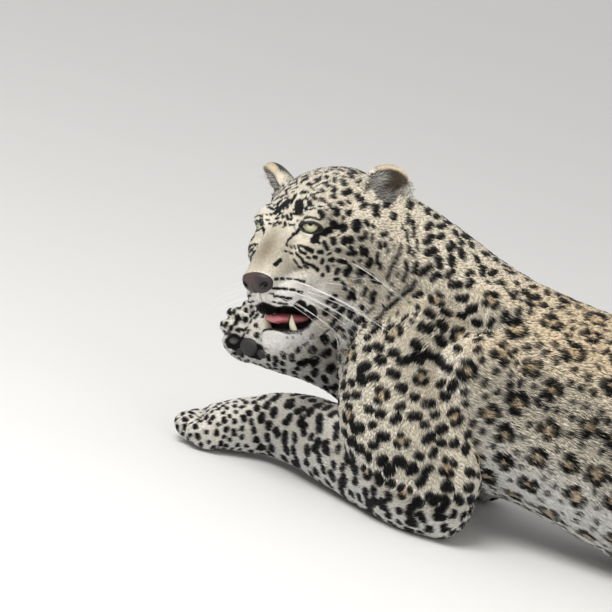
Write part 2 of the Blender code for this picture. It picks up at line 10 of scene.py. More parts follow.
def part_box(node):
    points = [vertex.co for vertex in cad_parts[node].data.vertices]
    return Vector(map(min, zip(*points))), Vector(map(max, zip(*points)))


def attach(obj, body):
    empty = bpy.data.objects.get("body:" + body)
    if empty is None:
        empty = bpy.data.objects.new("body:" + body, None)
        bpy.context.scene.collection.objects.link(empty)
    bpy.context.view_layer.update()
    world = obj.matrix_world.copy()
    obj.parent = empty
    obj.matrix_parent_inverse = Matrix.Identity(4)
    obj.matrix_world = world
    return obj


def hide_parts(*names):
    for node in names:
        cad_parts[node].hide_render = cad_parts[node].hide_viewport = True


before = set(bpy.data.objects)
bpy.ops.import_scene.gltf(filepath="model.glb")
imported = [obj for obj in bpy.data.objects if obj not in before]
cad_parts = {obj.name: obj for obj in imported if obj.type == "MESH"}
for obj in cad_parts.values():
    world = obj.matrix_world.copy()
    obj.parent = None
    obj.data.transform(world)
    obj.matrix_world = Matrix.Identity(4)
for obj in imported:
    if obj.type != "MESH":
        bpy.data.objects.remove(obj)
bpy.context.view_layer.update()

print("frame loaded")

# Lengths here are centimetres, in a frame with its origin on the floor under the withers. The animal faces -X
# and its left side is -Y. toFrame() turns them into the frame's metres.
cm = 0.01

# how the head is carried: where the tip of the nose is, and the turns that take it there
headCarriage = {"nose": (-26.7, -17.0, 25.4), "yaw": 72.5, "pitch": -14.0, "roll": -17.0}
# places on the head are given from the nose: back, aside, up
eye = {"radius": 1.62, "centre": Vector((8.75, 2.95, 3.35)), "lid": 0.40, "irisAngle": 38.0,
       "pupilAngle": 10.5}
earForm = {"centre": Vector((18.4, 7.3, 5.2)), "radii": (1.75, 3.2, 3.8), "wall": 0.42,
           "canal": (-0.5, 0, -1.2)}
nose = {"centre": (0.55, 0, -1.15), "radii": (1.25, 2.35, 1.3), "turn": (0, 20, 0),
        "nostril": Vector((0.15, 1.3, -1.25))}
mouth = {"corner": 6.6, "cornerHeight": -7.1}
floorHeight = 0.25


def rotated(angles):
    turn = Matrix.Identity(4)  # by degrees about X, then Y, then Z of the piece's own axes
    for axis, angle in zip("XYZ", angles):
        turn = turn @ Matrix.Rotation(math.radians(angle), 4, axis)
    return turn


def headPlace():
    turn = Matrix.Rotation(math.radians(headCarriage["yaw"]), 4, "Z")
    turn = turn @ Matrix.Rotation(math.radians(headCarriage["pitch"]), 4, "Y")
    turn = turn @ Matrix.Rotation(math.radians(headCarriage["roll"]), 4, "X")
    return Matrix.Translation(headCarriage["nose"]) @ turn


headMatrix = headPlace()
headTurn = np.array(headMatrix.to_3x3())
inHead = headMatrix.inverted()


def signed(place, side):
    return Vector((place.x, place.y * side, place.z))


def frameShift():
    # the left eye's node says where the frame's origin is
    low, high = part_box("eye_left")
    return (low + high) / 2 - headMatrix @ signed(eye["centre"], -1) * cm


shift = np.array(frameShift())
frameMatrix = Matrix.Translation(Vector(shift)) @ Matrix.Scale(cm, 4)


def toFrame(points):
    return np.asarray(points, float) * cm + shift


def moved(points, matrix):
    m = np.array(matrix)
    return np.asarray(points, float) @ m[:3, :3].T + m[:3, 3]


# Camera: the photograph's view, from the left and a little above
view = {"round": 12.0, "above": 12.0, "lean": 14.0, "pixel": 0.118, "far": 600.0, "image": 612,
        "point": (1.0, -13.0, 0.0), "pointPixel": (430, 540)}


def viewAxes():
    a, e, lean = (math.radians(view[k]) for k in ("round", "above", "lean"))
    right = Vector((math.cos(a), math.sin(a), 0))
    level = Vector((-math.sin(a), math.cos(a), 0))
    up = level * math.sin(e) + Vector((0, 0, math.cos(e)))
    back = -(level * math.cos(e) - Vector((0, 0, math.sin(e))))
    return right * math.cos(lean) + up * math.sin(lean), up * math.cos(lean) - right * math.sin(lean), back


viewRight, viewUp, viewBack = viewAxes()
imageMiddle = view["image"] / 2


def pixelPlace(x, y):
    # a pixel of the picture, on the plane through the view's own point
    px, py = view["pointPixel"]
    return Vector(view["point"]) + viewRight * (x - px) * view["pixel"] + viewUp * (py - y) * view["pixel"]


cameraPlace = pixelPlace(imageMiddle, imageMiddle) + viewBack * view["far"]


def makeCamera():
    data = bpy.data.cameras.new("camera")
    data.sensor_width = 36
    data.lens = 36 * view["far"] / (view["image"] * view["pixel"])
    data.clip_start, data.clip_end = 0.1, 60
    camera = bpy.data.objects.new("camera", data)
    bpy.context.scene.collection.objects.link(camera)
    turn = Matrix((viewRight, viewUp, viewBack)).transposed().to_4x4()
    camera.matrix_world = Matrix.Translation(toFrame(cameraPlace)) @ turn
    bpy.context.scene.camera = camera


makeCamera()
print("camera placed")


# Shapes
def curvePoints(stations, steps):
    rows = np.array(stations, float)
    padded = np.vstack([2 * rows[0] - rows[1], rows, 2 * rows[-1] - rows[-2]])
    out = []
    for i in range(1, len(padded) - 2):
        a, b, c, d = padded[i - 1 : i + 3]
        for t in np.linspace(0, 1, steps, endpoint=False):
            square, cube = 2 * a - 5 * b + 4 * c - d, 3 * b - a - 3 * c + d
            out.append(0.5 * (2 * b + (c - a) * t + square * t * t + cube * t**3))
    out.append(rows[-1])
    return np.array(out)


def loft(stations, squareness=2.0, steps=4, segments=28, up=(0, 0, 1), endRound=0.7):
    # a closed tube through stations of (x, y, z, half width, half height), with rounded ends
    rows = curvePoints(stations, steps)
    places, sizes = rows[:, :3], np.maximum(rows[:, 3:5], 0.02)
    ends = []
    for first, second, flip in ((0, 1, False), (-1, -2, True)):
        out = places[first] - places[second]
        out /= np.linalg.norm(out)
        reach = endRound * sizes[first].min()
        rings = [(places[first] + out * reach * math.sin(t), sizes[first] * math.cos(t))
                 for t in (0.5, 1.0, 1.35)]
        ends.append(rings if flip else rings[::-1])
    places = np.vstack([[r[0] for r in ends[0]], places, [r[0] for r in ends[1]]])
    sizes = np.vstack([[r[1] for r in ends[0]], sizes, [r[1] for r in ends[1]]])
    tangents = np.gradient(places, axis=0)
    tangents /= np.linalg.norm(tangents, axis=1)[:, None]
    mesh = bmesh.new()
    loops = []
    for place, size, tangent in zip(places, sizes, tangents):
        side = np.cross(tangent, up)
        side /= np.linalg.norm(side)
        top = np.cross(side, tangent)
        ring = []
        for a in np.linspace(0, 2 * math.pi, segments, endpoint=False):
            c, s = math.cos(a), math.sin(a)
            w = math.copysign(abs(c) ** (2 / squareness), c)
            h = math.copysign(abs(s) ** (2 / squareness), s)
            ring.append(mesh.verts.new(place + side * size[0] * w + top * size[1] * h))
        loops.append(ring)
    for one, two in zip(loops, loops[1:]):
        for i in range(segments):
            j = (i + 1) % segments
            mesh.faces.new((one[i], one[j], two[j], two[i]))
    mesh.faces.new(loops[0][::-1])
    mesh.faces.new(loops[-1])
    bmesh.ops.recalc_face_normals(mesh, faces=mesh.faces)
    return mesh


def ball(centre, radii, turn=(0, 0, 0), fineness=4):
    mesh = bmesh.new()
    bmesh.ops.create_icosphere(mesh, subdivisions=fineness, radius=1)
    place = Matrix.Translation(Vector(centre)) @ rotated(turn)
    bmesh.ops.transform(mesh, matrix=place @ Matrix.Diagonal((*radii, 1)), verts=mesh.verts)
    return mesh


def bothSides(make):
    return [make(-1), make(1)]


def placed(pieces, matrix):
    for piece in pieces:
        bmesh.ops.transform(piece, matrix=matrix, verts=piece.verts)
    return pieces


def onSide(stations, side, grow=0.0):
    return [(x, -y * side, z, w + grow, h + grow) for x, y, z, w, h in stations]


def headPieces():
    pieces = [
        # cranium
        loft([(7.5, 0, 1.1, 3.6, 3.3), (9.5, 0, 1.3, 5.0, 4.1), (12.5, 0, 1.9, 6.2, 5.1),
              (16.0, 0, 2.1, 6.8, 6.1), (19.5, 0, 1.5, 6.5, 6.2), (22.0, 0, 0.6, 5.0, 5.0)], squareness=2.2),
        # bridge of the nose up into the forehead
        loft([(0.9, 0, -1.1, 2.1, 1.35), (2.6, 0, -0.7, 2.2, 2.0), (5.0, 0, 0.5, 2.3, 2.4),
              (7.5, 0, 1.8, 2.7, 2.6), (10.0, 0, 3.0, 3.7, 2.8), (13.0, 0, 4.3, 4.7, 3.0)], squareness=2.6),
        # upper jaw
        loft([(1.8, 0, -2.6, 2.0, 1.4), (4.0, 0, -2.9, 3.3, 2.1), (7.5, 0, -2.8, 4.4, 2.6),
              (11.0, 0, -2.6, 5.4, 3.3), (15.0, 0, -2.4, 6.1, 4.0)], squareness=2.3),
        # lower jaw, dropped a little
        loft([(2.9, 0, -8.2, 2.0, 1.6), (4.6, 0, -8.5, 2.7, 1.8), (7.5, 0, -8.4, 3.5, 2.0),
              (11.0, 0, -7.4, 4.5, 2.8), (15.5, 0, -5.4, 5.2, 4.0)], squareness=2.4),
        ball((3.5, 0, -8.9), (2.1, 2.2, 1.45)),
        loft([(3.4, 0, -5.9, 2.2, 1.4), (6.5, 0, -6.2, 3.2, 1.5), (10.0, 0, -5.8, 4.2, 1.8)]),
    ]
    # on both sides: centre, radii and turn of the muzzle pads, cheeks, brows and the base of each ear
    muscles = [
        ((3.8, 1.75, -3.2), (2.7, 1.85, 2.05), (0, -10, 26)),
        ((6.2, 3.1, -4.4), (2.4, 1.3, 2.6), (0, 20, 16)),
        ((7.6, 3.5, 0.6), (3.0, 1.9, 2.3), (0, -15, 25)), ((12.6, 5.2, 0.2), (4.8, 2.5, 3.1), (0, -10, 14)),
        ((14.6, 4.9, -3.0), (4.8, 3.0, 4.8), (0, -12, 6)), ((10.2, 4.3, -3.6), (3.8, 2.2, 3.4), (0, 0, 12)),
        ((7.4, 3.3, -1.7), (2.6, 1.8, 1.9), (0, 0, 14)), ((9.2, 3.3, 4.2), (2.3, 1.9, 1.25), (0, -28, 18)),
        ((17.6, 6.0, 3.4), (2.6, 2.4, 2.8), (0, 0, 0)),
        (tuple(eye["centre"]), (eye["radius"] + eye["lid"],) * 3, (0, 0, 0)),
    ]
    for (x, y, z), radii, (a, b, c) in muscles:
        pieces += bothSides(lambda s: ball((x, y * s, z), radii, (a, b, c * s)))
    return pieces


def earTurn(side):
    return (-34 * side, 4, -42 * side)  # leaning out and back, its cup looking forward and out


def earSpot(side, place):
    # a place in the ear's own axes: X through the cup, Y across, Z to the tip
    return signed(earForm["centre"], side) + (rotated(earTurn(side)).to_3x3() @ Vector(place))


def earHollow(side):
    a, b, c = earForm["radii"]
    wall = earForm["wall"]
    return ball(earSpot(side, (-1.2, 0, 0.15)), (a + 0.6, b - wall, c - wall - 0.05), earTurn(side), 3)


def earCanal(side):
    return ball(earSpot(side, earForm["canal"]), (1.7, 2.1, 2.2), earTurn(side), 3)


def lidTurn(side):
    return rotated((0, 0, -36 * side)) @ rotated((-16 * side, 12, 0))


def lidOpening(side):
    centre = signed(eye["centre"], side) + lidTurn(side).to_3x3() @ Vector((-eye["radius"], 0, 0.05))
    mesh = bmesh.new()
    bmesh.ops.create_icosphere(mesh, subdivisions=4, radius=1)
    place = Matrix.Translation(centre) @ lidTurn(side) @ Matrix.Diagonal((1.1, 1.42, 0.74, 1))
    bmesh.ops.transform(mesh, matrix=place, verts=mesh.verts)
    return mesh


def smoothStep(low, high, value):
    t = np.clip((np.asarray(value, float) - low) / (high - low), 0, 1)
    return t * t * (3 - 2 * t)


def lipHeights(x, y):
    # heights of the upper and the lower lip's edge, and inside them of the palate and the floor of the mouth
    aside = np.minimum(np.abs(y) / 2.6, 1) ** 1.3
    upper = -3.8 - 1.3 * aside - 0.1 * x - 1.25 * smoothStep(3.4, mouth["corner"], x)
    lower = -6.45 - 0.28 * (x - 1.6)
    closing = smoothStep(mouth["corner"] - 0.9, mouth["corner"] + 0.1, x)
    middle = mouth["cornerHeight"] + 0.1
    inside = smoothStep(2.9, 2.3, np.abs(y)) * smoothStep(1.5, 2.8, x) * smoothStep(8.4, 6.8, x)
    upper = upper + (middle + 0.02 - upper) * closing * 0.9
    lower = lower + (middle - 0.02 - lower) * closing * 0.9
    return upper + 1.0 * inside, np.minimum(lower, upper - 0.04) - 0.8 * inside


def mouthGap():
    across = np.linspace(-7, 7, 57)
    along = np.concatenate([np.linspace(-3, 0.5, 3), np.linspace(1, 7.6, 23)])
    mesh = bmesh.new()
    upper, lower = [], []
    for x in along:
        top, bottom = lipHeights(np.full_like(across, x), across)
        upper.append([mesh.verts.new((x, y, z)) for y, z in zip(across, top)])
        lower.append([mesh.verts.new((x, y, z)) for y, z in zip(across, bottom)])
    rows, columns = len(along) - 1, len(across) - 1
    for i in range(rows):
        for j in range(columns):
            for grid, flip in ((upper, 1), (lower, -1)):
                mesh.faces.new((grid[i][j], grid[i + 1][j], grid[i + 1][j + 1], grid[i][j + 1])[::flip])
    for i in range(rows):
        for j in (0, columns):
            mesh.faces.new((upper[i][j], upper[i + 1][j], lower[i + 1][j], lower[i][j]))
    for j in range(columns):
        for i in (0, rows):
            mesh.faces.new((upper[i][j], upper[i][j + 1], lower[i][j + 1], lower[i][j]))
    bmesh.ops.recalc_face_normals(mesh, faces=mesh.faces)
    bmesh.ops.triangulate(mesh, faces=mesh.faces)
    return mesh


def nosePad(grow=0.0):
    return ball(nose["centre"], [r + grow for r in nose["radii"]], nose["turn"], 4)


def fromNosePad(local):
    # under 1 for places within the bare pad
    off = (local - np.array(nose["centre"])) / (np.array(nose["radii"]) + 0.05)
    return (off**2).sum(axis=1)


# Legs and tail on the left side: x, y, z, half width, half height
upperArm = [(-4.0, -6.6, 23.5, 8.2, 4.2), (-6.3, -8.8, 17.0, 8.9, 5.2), (-4.4, -11.0, 10.8, 8.2, 5.3),
            (0.9, -12.4, 5.6, 5.4, 4.7)]
leftForearm = [(2.2, -12.8, 4.6, 4.0, 4.4), (-2.5, -11.6, 5.4, 5.2, 5.5), (-8.5, -7.8, 5.8, 5.0, 5.7),
               (-14.0, -4.4, 5.6, 4.6, 5.0), (-19.5, -0.8, 5.3, 4.2, 4.5), (-24.3, 1.0, 4.5, 3.9, 3.8)]
rightForearm = [(2.6, 12.2, 4.4, 4.0, 4.4), (-3.0, 12.4, 6.2, 4.9, 5.1), (-9.0, 12.6, 8.2, 4.5, 4.7),
                (-15.0, 12.6, 9.9, 3.9, 4.1), (-20.0, 12.4, 11.4, 3.4, 3.7), (-24.3, 12.2, 12.0, 3.5, 3.6)]
thigh = [(60.0, -7.0, 17.0, 8.5, 5.0), (53.0, -10.0, 14.5, 9.6, 5.6), (45.0, -12.2, 11.5, 8.4, 5.0),
         (39.0, -13.2, 9.0, 6.0, 4.2)]
shank = [(40.0, -13.4, 7.5, 4.6, 5.4), (47.0, -13.6, 6.4, 3.9, 5.2), (55.0, -13.2, 5.2, 3.1, 4.2),
         (62.5, -12.6, 4.2, 2.3, 3.2), (66.0, -12.4, 3.4, 2.1, 2.6)]
hindFoot = [(66.5, -12.5, 2.7, 2.2, 2.5), (60.0, -13.6, 2.2, 2.2, 2.3), (52.0, -15.2, 2.1, 2.5, 2.3),
            (45.5, -16.4, 2.2, 3.1, 2.5), (41.5, -17.0, 2.1, 3.3, 2.3)]
pawStations = [(0.5, 0, 0, 3.4, 3.6), (-3.0, 0, -0.7, 3.8, 3.2), (-6.4, 0, -1.5, 4.0, 2.5)]
tailRoute = [(68.0, 0.5, 16.0, 4.6, 4.8), (73.0, 0.6, 11.5, 3.8, 3.8), (78.5, 0.2, 6.6, 3.1, 3.1),
             (84.5, -2.0, 3.3, 2.8, 2.8), (89.5, -7.5, 2.6, 2.7, 2.7), (91.5, -15.0, 2.6, 2.7, 2.7),
             (89.0, -23.0, 2.6, 2.7, 2.7), (82.0, -29.0, 2.5, 2.6, 2.6), (73.0, -31.5, 2.4, 2.5, 2.5),
             (64.0, -30.5, 2.4, 2.4, 2.4), (56.5, -27.6, 2.3, 2.2, 2.2), (52.0, -26.0, 2.1, 1.6, 1.7)]
trunk = [(-13.5, -0.5, 16.6, 6.4, 7.2), (-9.0, -0.3, 17.6, 8.8, 9.8), (-3.0, 0, 18.0, 9.8, 11.8),
         (3.0, 0, 17.3, 11.0, 12.6), (11.0, 0, 16.6, 12.0, 12.4), (20.0, 0, 15.3, 12.6, 13.2),
         (30.0, 0, 14.3, 12.5, 14.2), (41.0, 0, 13.9, 11.0, 14.5), (52.0, 0, 14.5, 10.6, 13.2),
         (60.0, 0, 15.3, 9.8, 11.3), (66.0, 0, 15.6, 7.8, 8.8), (69.5, 0, 15.8, 5.0, 5.8)]
neck = [(3.0, 0.5, 19.6, 8.2, 10.6), (-5.0, 0.2, 22.0, 8.8, 10.6), (-11.0, -0.5, 25.0, 8.7, 10.2),
        (-15.8, -1.6, 27.8, 8.2, 9.3), (-19.5, -3.2, 29.7, 7.4, 7.9)]
ridge = [(-12.0, 0, 29.0, 5.0, 5.8), (-4.0, 0, 27.0, 5.2, 5.4), (4.0, 0, 25.4, 5.0, 5.2),
         (16.0, 0, 24.4, 5.0, 5.0), (34.0, 0, 23.8, 5.0, 5.0), (52.0, 0, 23.0, 5.0, 4.8)]
toes = {"spread": (-2.85, -0.98, 0.98, 2.85), "reach": (-7.9, -9.0, -8.9, -7.6)}
leftWrist = Matrix.Translation((-24.3, 1.0, 4.4)) @ Matrix.Rotation(math.radians(25), 4, "Z")
rightWrist = (Matrix.Translation((-24.3, 12.2, 11.9)) @ Matrix.Rotation(math.radians(4), 4, "Z")
              @ Matrix.Rotation(math.radians(9), 4, "Y") @ Matrix.Rotation(math.radians(64), 4, "X"))


def forepaw():
    pieces = [loft(pawStations, squareness=2.4)]
    for y, x in zip(toes["spread"], toes["reach"]):
        pieces.append(ball((x, y, -2.1), (2.5, 1.2, 1.75), (0, 10, 4 * y)))
    return pieces


def bodyPieces():
    pieces = [loft(trunk, squareness=2.2, segments=40), loft(neck, squareness=2.1, segments=36), loft(ridge),
              loft(tailRoute, steps=5)]
    for side in (-1, 1):
        forearm = leftForearm if side < 0 else onSide(rightForearm, -1)
        pieces += [loft(onSide(upperArm, side), up=(0, -1, 0)), loft(forearm)]
        pieces.append(ball((-1.0, 5.4 * side, 25.6), (6.8, 2.8, 4.8)))  # shoulder blade
        pieces.append(ball((0.4, 8.6 * side, 15.4), (6.6, 4.7, 10.2), (-14 * side, 8, 0)))  # triceps
        pieces.append(ball((57.5, 5.2 * side, 23.0), (5.6, 3.4, 3.8)))  # hip
        pieces.append(ball((51.0, 10.6 * side, 12.4), (10.5, 5.6, 9.6), (-12 * side, 16, 0)))  # haunch
        pieces += [loft(onSide(thigh, side), up=(0, -1, 0)), loft(onSide(shank, side)),
                   loft(onSide(hindFoot, side), squareness=2.3)]
        for k in range(4):
            place = (38.6 + 0.5 * abs(k - 1.4), (17.2 + (k - 1.5) * 1.7) * side, 1.65)
            pieces.append(ball(place, (2.7, 1.1, 1.7)))
    return pieces + placed(forepaw(), leftWrist) + placed(forepaw(), rightWrist)


# Meshes
def linked(name, mesh):
    made = bpy.data.objects.new(name, mesh)
    bpy.context.scene.collection.objects.link(made)
    return made


def objectFrom(name, pieces):
    whole = bmesh.new()
    for piece in pieces:
        mesh = bpy.data.meshes.new("piece")
        piece.to_mesh(mesh)
        piece.free()
        whole.from_mesh(mesh)
        bpy.data.meshes.remove(mesh)
    mesh = bpy.data.meshes.new(name)
    whole.to_mesh(mesh)
    whole.free()
    return linked(name, mesh)


def dropped(thing):
    mesh = thing.data
    bpy.data.objects.remove(thing)
    bpy.data.meshes.remove(mesh)


def applied(thing):
    graph = bpy.context.evaluated_depsgraph_get()
    mesh = bpy.data.meshes.new_from_object(thing.evaluated_get(graph))
    old = thing.data
    thing.modifiers.clear()
    thing.data = mesh
    bpy.data.meshes.remove(old)
    return thing


def fused(thing, voxel, smoothing):
    remesh = thing.modifiers.new("fuse", "REMESH")
    remesh.mode = "VOXEL"
    remesh.voxel_size = voxel
    soften = thing.modifiers.new("soften", "SMOOTH")
    soften.factor = 0.5
    soften.iterations = smoothing
    return applied(thing)


def cut(thing, pieces, operation="DIFFERENCE", matrix=None):
    if matrix is not None:
        placed(pieces, matrix)
    for piece in pieces:
        cutter = objectFrom("cutter", [piece])
        boolean = thing.modifiers.new("cut", "BOOLEAN")
        boolean.operation = operation
        boolean.solver = "MANIFOLD"
        boolean.object = cutter
        applied(thing)
        dropped(cutter)
    return thing


def pointsOf(thing):
    flat = np.empty(len(thing.data.vertices) * 3, np.float32)
    thing.data.vertices.foreach_get("co", flat)
    return flat.reshape(-1, 3).astype(float)


def normalsOf(thing):
    flat = np.empty(len(thing.data.vertices) * 3, np.float32)
    thing.data.vertex_normals.foreach_get("vector", flat)
    return flat.reshape(-1, 3).astype(float)


def setPoints(thing, points):
    thing.data.vertices.foreach_set("co", np.asarray(points, np.float32).ravel())
    thing.data.update()


def trianglesOf(mesh):
    mesh.calc_loop_triangles()
    flat = np.empty(len(mesh.loop_triangles) * 3, np.int32)
    mesh.loop_triangles.foreach_get("vertices", flat)
    return flat.reshape(-1, 3)


def triangleMesh(name, points, triangles):
    mesh = bpy.data.meshes.new(name)
    mesh.vertices.add(len(points))
    mesh.vertices.foreach_set("co", np.asarray(points, np.float32).ravel())
    mesh.loops.add(3 * len(triangles))
    mesh.loops.foreach_set("vertex_index", np.asarray(triangles, np.int32).ravel())
    mesh.polygons.add(len(triangles))
    mesh.polygons.foreach_set("loop_start", np.arange(0, 3 * len(triangles), 3, dtype=np.int32))
    mesh.update(calc_edges=True)
    return mesh


def paint(mesh, colours):
    layer = mesh.color_attributes.new("tint", "FLOAT_COLOR", "POINT")
    rgba = np.ones((len(colours), 4), np.float32)
    rgba[:, :3] = colours
    layer.data.foreach_set("color", rgba.ravel())


def unit(rows):
    return rows / np.maximum(np.linalg.norm(rows, axis=-1, keepdims=True), 1e-9)


def largestShell(thing):
    mesh = bmesh.new()
    mesh.from_mesh(thing.data)
    left = set(mesh.verts)
    best = set()
    while left:
        start = left.pop()
        group, stack = {start}, [start]
        while stack:
            for edge in stack.pop().link_edges:
                for v in edge.verts:
                    if v in left:
                        left.remove(v)
                        group.add(v)
                        stack.append(v)
        best = max(best, group, key=len)
    bmesh.ops.delete(mesh, geom=[v for v in mesh.verts if v not in best], context="VERTS")
    mesh.to_mesh(thing.data)
    mesh.free()


# The coat by region, in centimetres: how deep it stands, length and width of a tuft, tufts on a square
# centimetre, distance between spots, half their width, how many marks are rosettes, and a rosette's radius
coatColumns = ("depth", "length", "width", "density", "spacing", "spot", "rosettes", "ring")
coat = {
    "trunk": (0.60, 1.40, 0.140, 18, 1.24, 0.44, 0.92, 1.02),
    "neck": (0.50, 0.85, 0.100, 35, 1.26, 0.57, 0.04, 0.70),
    "head": (0.14, 0.42, 0.066, 64, 0.97, 0.41, 0.0, 0.4),
    "ear": (0.05, 0.45, 0.070, 60, 9.0, 0.2, 0.0, 0.4),
    "upperArm": (0.45, 0.85, 0.100, 34, 1.48, 0.73, 0.30, 0.84),
    "forearm": (0.32, 0.65, 0.092, 40, 1.41, 0.69, 0.03, 0.6),
    "forepaw": (0.20, 0.45, 0.080, 48, 0.83, 0.36, 0.0, 0.4),
    "thigh": (0.55, 1.35, 0.140, 18, 1.48, 0.58, 0.70, 0.96),
    "shank": (0.35, 1.0, 0.120, 18, 1.55, 0.67, 0.0, 0.5),
    "hindPaw": (0.22, 0.7, 0.10, 24, 0.98, 0.41, 0.0, 0.4),
    "tail": (0.50, 1.4, 0.140, 16, 1.76, 0.80, 0.30, 0.90),
}
regionNames = list(coat)
coatTable = np.array([coat[name] for name in regionNames])


def shareOf(shares, *names):
    # how much each point belongs to these regions
    return sum(shares[:, regionNames.index(name)] for name in names)


def coatSizes(shares, *names):
    # these columns of the coat at each point, mixed from the regions that it belongs to
    return [shares @ coatTable[:, coatColumns.index(name)] for name in names]


def guideRows():
    # centre, direction of the lie, size and region at steps along each part of the body
    parts = [("trunk", trunk), ("neck", neck[::-1]), ("tail", tailRoute)]
    for side in (-1, 1):
        parts += [("upperArm", onSide(upperArm, side)), ("thigh", onSide(thigh, side)),
                  ("shank", onSide(shank, side)), ("hindPaw", onSide(hindFoot, side)),
                  ("hindPaw", [(42, 17.0 * side, 2.1, 3.2, 2.2), (37.5, 17.2 * side, 1.8, 3.0, 2.0)])]
    parts += [("forearm", leftForearm), ("forearm", rightForearm)]
    centres, ways, sizes, regions = [], [], [], []
    for name, stations in parts:
        rows = curvePoints(stations, 3)
        centres.append(rows[:, :3])
        ways.append(unit(np.gradient(rows[:, :3], axis=0)))
        sizes.append(rows[:, 3:5].mean(axis=1))
        regions += [regionNames.index(name)] * len(rows)
    for wrist in (leftWrist, rightWrist):
        rows = curvePoints(pawStations + [(-9.0, 0, -2.0, 3.6, 1.9)], 3)
        centres.append(moved(rows[:, :3], wrist))
        ways.append(unit(np.gradient(moved(rows[:, :3], wrist), axis=0)))
        sizes.append(rows[:, 3:5].mean(axis=1))
        regions += [regionNames.index("forepaw")] * len(rows)
    headRows = np.array([(3.0, 0, -3.5, 3.6), (6.0, 0, -3.5, 4.6), (9.0, 0, -1.5, 5.8), (12.5, 0, -0.5, 7.0),
                         (16.0, 0, -0.5, 7.6), (19.0, 0, 0.0, 7.0)])
    centres.append(moved(headRows[:, :3], headMatrix))
    ways.append(np.tile(np.array(headMatrix.to_3x3() @ Vector((1, 0, 0))), (len(headRows), 1)))
    sizes.append(headRows[:, 3])
    regions += [regionNames.index("head")] * len(headRows)
    for side in (-1, 1):
        spots = np.array([earSpot(side, (0, 0, z)) for z in (-1.2, 0.6, 2.4)])
        centres.append(moved(spots, headMatrix))
        way = headMatrix.to_3x3() @ (rotated(earTurn(side)).to_3x3() @ Vector((0, 0, 1)))
        ways.append(np.tile(np.array(way), (3, 1)))
        sizes.append(np.array([1.9, 2.2, 1.9]))
        regions += [regionNames.index("ear")] * 3
    return np.vstack(centres), np.vstack(ways), np.concatenate(sizes), np.array(regions)


guides = guideRows()


def lieAt(points):
    # for each point: the direction that its hair lies in, and how much it belongs to each region
    centres, ways, sizes, regions = guides
    member = np.eye(len(regionNames), dtype=np.float32)[regions]
    lies, shares = [], []
    for start in range(0, len(points), 40000):
        p = points[start : start + 40000].astype(np.float32)
        far = np.sqrt(((p[:, None, :] - centres[None].astype(np.float32)) ** 2).sum(axis=2)) / sizes
        weight = np.exp(-9 * far)
        share = weight @ member
        total = share.sum(axis=1, keepdims=True) + 1e-12
        lies.append((weight @ ways) / total)
        shares.append(share / total)
    lies, shares = np.vstack(lies), np.vstack(shares)
    # on the head it streams back from the nose and round the eyes
    local = moved(points, inHead)
    stream = unit(local - np.array((-4.0, 0, -3.0)))
    for side in (-1, 1):
        away = local - np.array(signed(eye["centre"], side))
        reach = np.linalg.norm(away, axis=1, keepdims=True)
        stream += 2.2 * unit(away) * np.exp(-((reach / 2.6) ** 2))
    stream = unit(stream) @ headTurn.T
    onHead = shareOf(shares, "head")[:, None]
    return lies * (1 - onHead) + stream * onHead, shares


def onSurface(ways, normals):
    flat = ways - normals * (ways * normals).sum(axis=1, keepdims=True)
    return unit(flat)


# Skin
# "fineTo" bounds the part of the head that is kept fine
skinMake = {"voxel": 0.2, "smoothing": 10, "triangles": 300000,
            "fineTo": {"back": 17, "aside": 10, "low": -13, "high": 12}}


def earCups():
    cups = []
    for side in (-1, 1):
        cup = objectFrom("cup", [ball(signed(earForm["centre"], side), earForm["radii"], earTurn(side), 5)])
        cut(cup, [earHollow(side)])
        mesh = bmesh.new()
        mesh.from_mesh(cup.data)
        dropped(cup)
        cups.append(mesh)
    return cups


def headFolds(local):
    # small forms of the face as moves along the normal: back, aside, up of each, its radii, and its height
    folds = [
        ((0.6, 0.0, -3.1), (1.6, 0.16, 1.5), -0.22),  # groove under the nose
        ((3.2, 0.0, -9.9), (1.3, 0.3, 0.8), -0.08),
        ((8.3, 1.9, 1.1), (1.5, 0.45, 0.5), -0.22),  # crease under the inner corner of the eye
        ((9.4, 3.6, 0.9), (0.6, 1.6, 0.35), -0.16),
        ((6.4, 1.2, 1.4), (1.7, 0.35, 0.9), 0.10),
        ((4.5, 2.7, -1.6), (1.6, 0.5, 0.35), -0.14),  # furrow above the whisker pad
        ((9.0, 0.0, 5.2), (2.2, 0.35, 1.2), -0.12),  # between the brows
        ((10.6, 3.8, 5.4), (1.0, 1.5, 0.6), 0.12),
        ((8.0, 5.0, -3.6), (0.5, 1.5, 2.2), -0.18),  # behind the whisker pad
    ]
    rise = np.zeros(len(local))
    for (x, y, z), radii, height in folds:
        for side in (-1, 1) if y else (1,):
            q = (local - np.array((x, y * side, z))) / np.array(radii)
            rise += height * np.exp(-(q**2).sum(axis=1))
    return rise


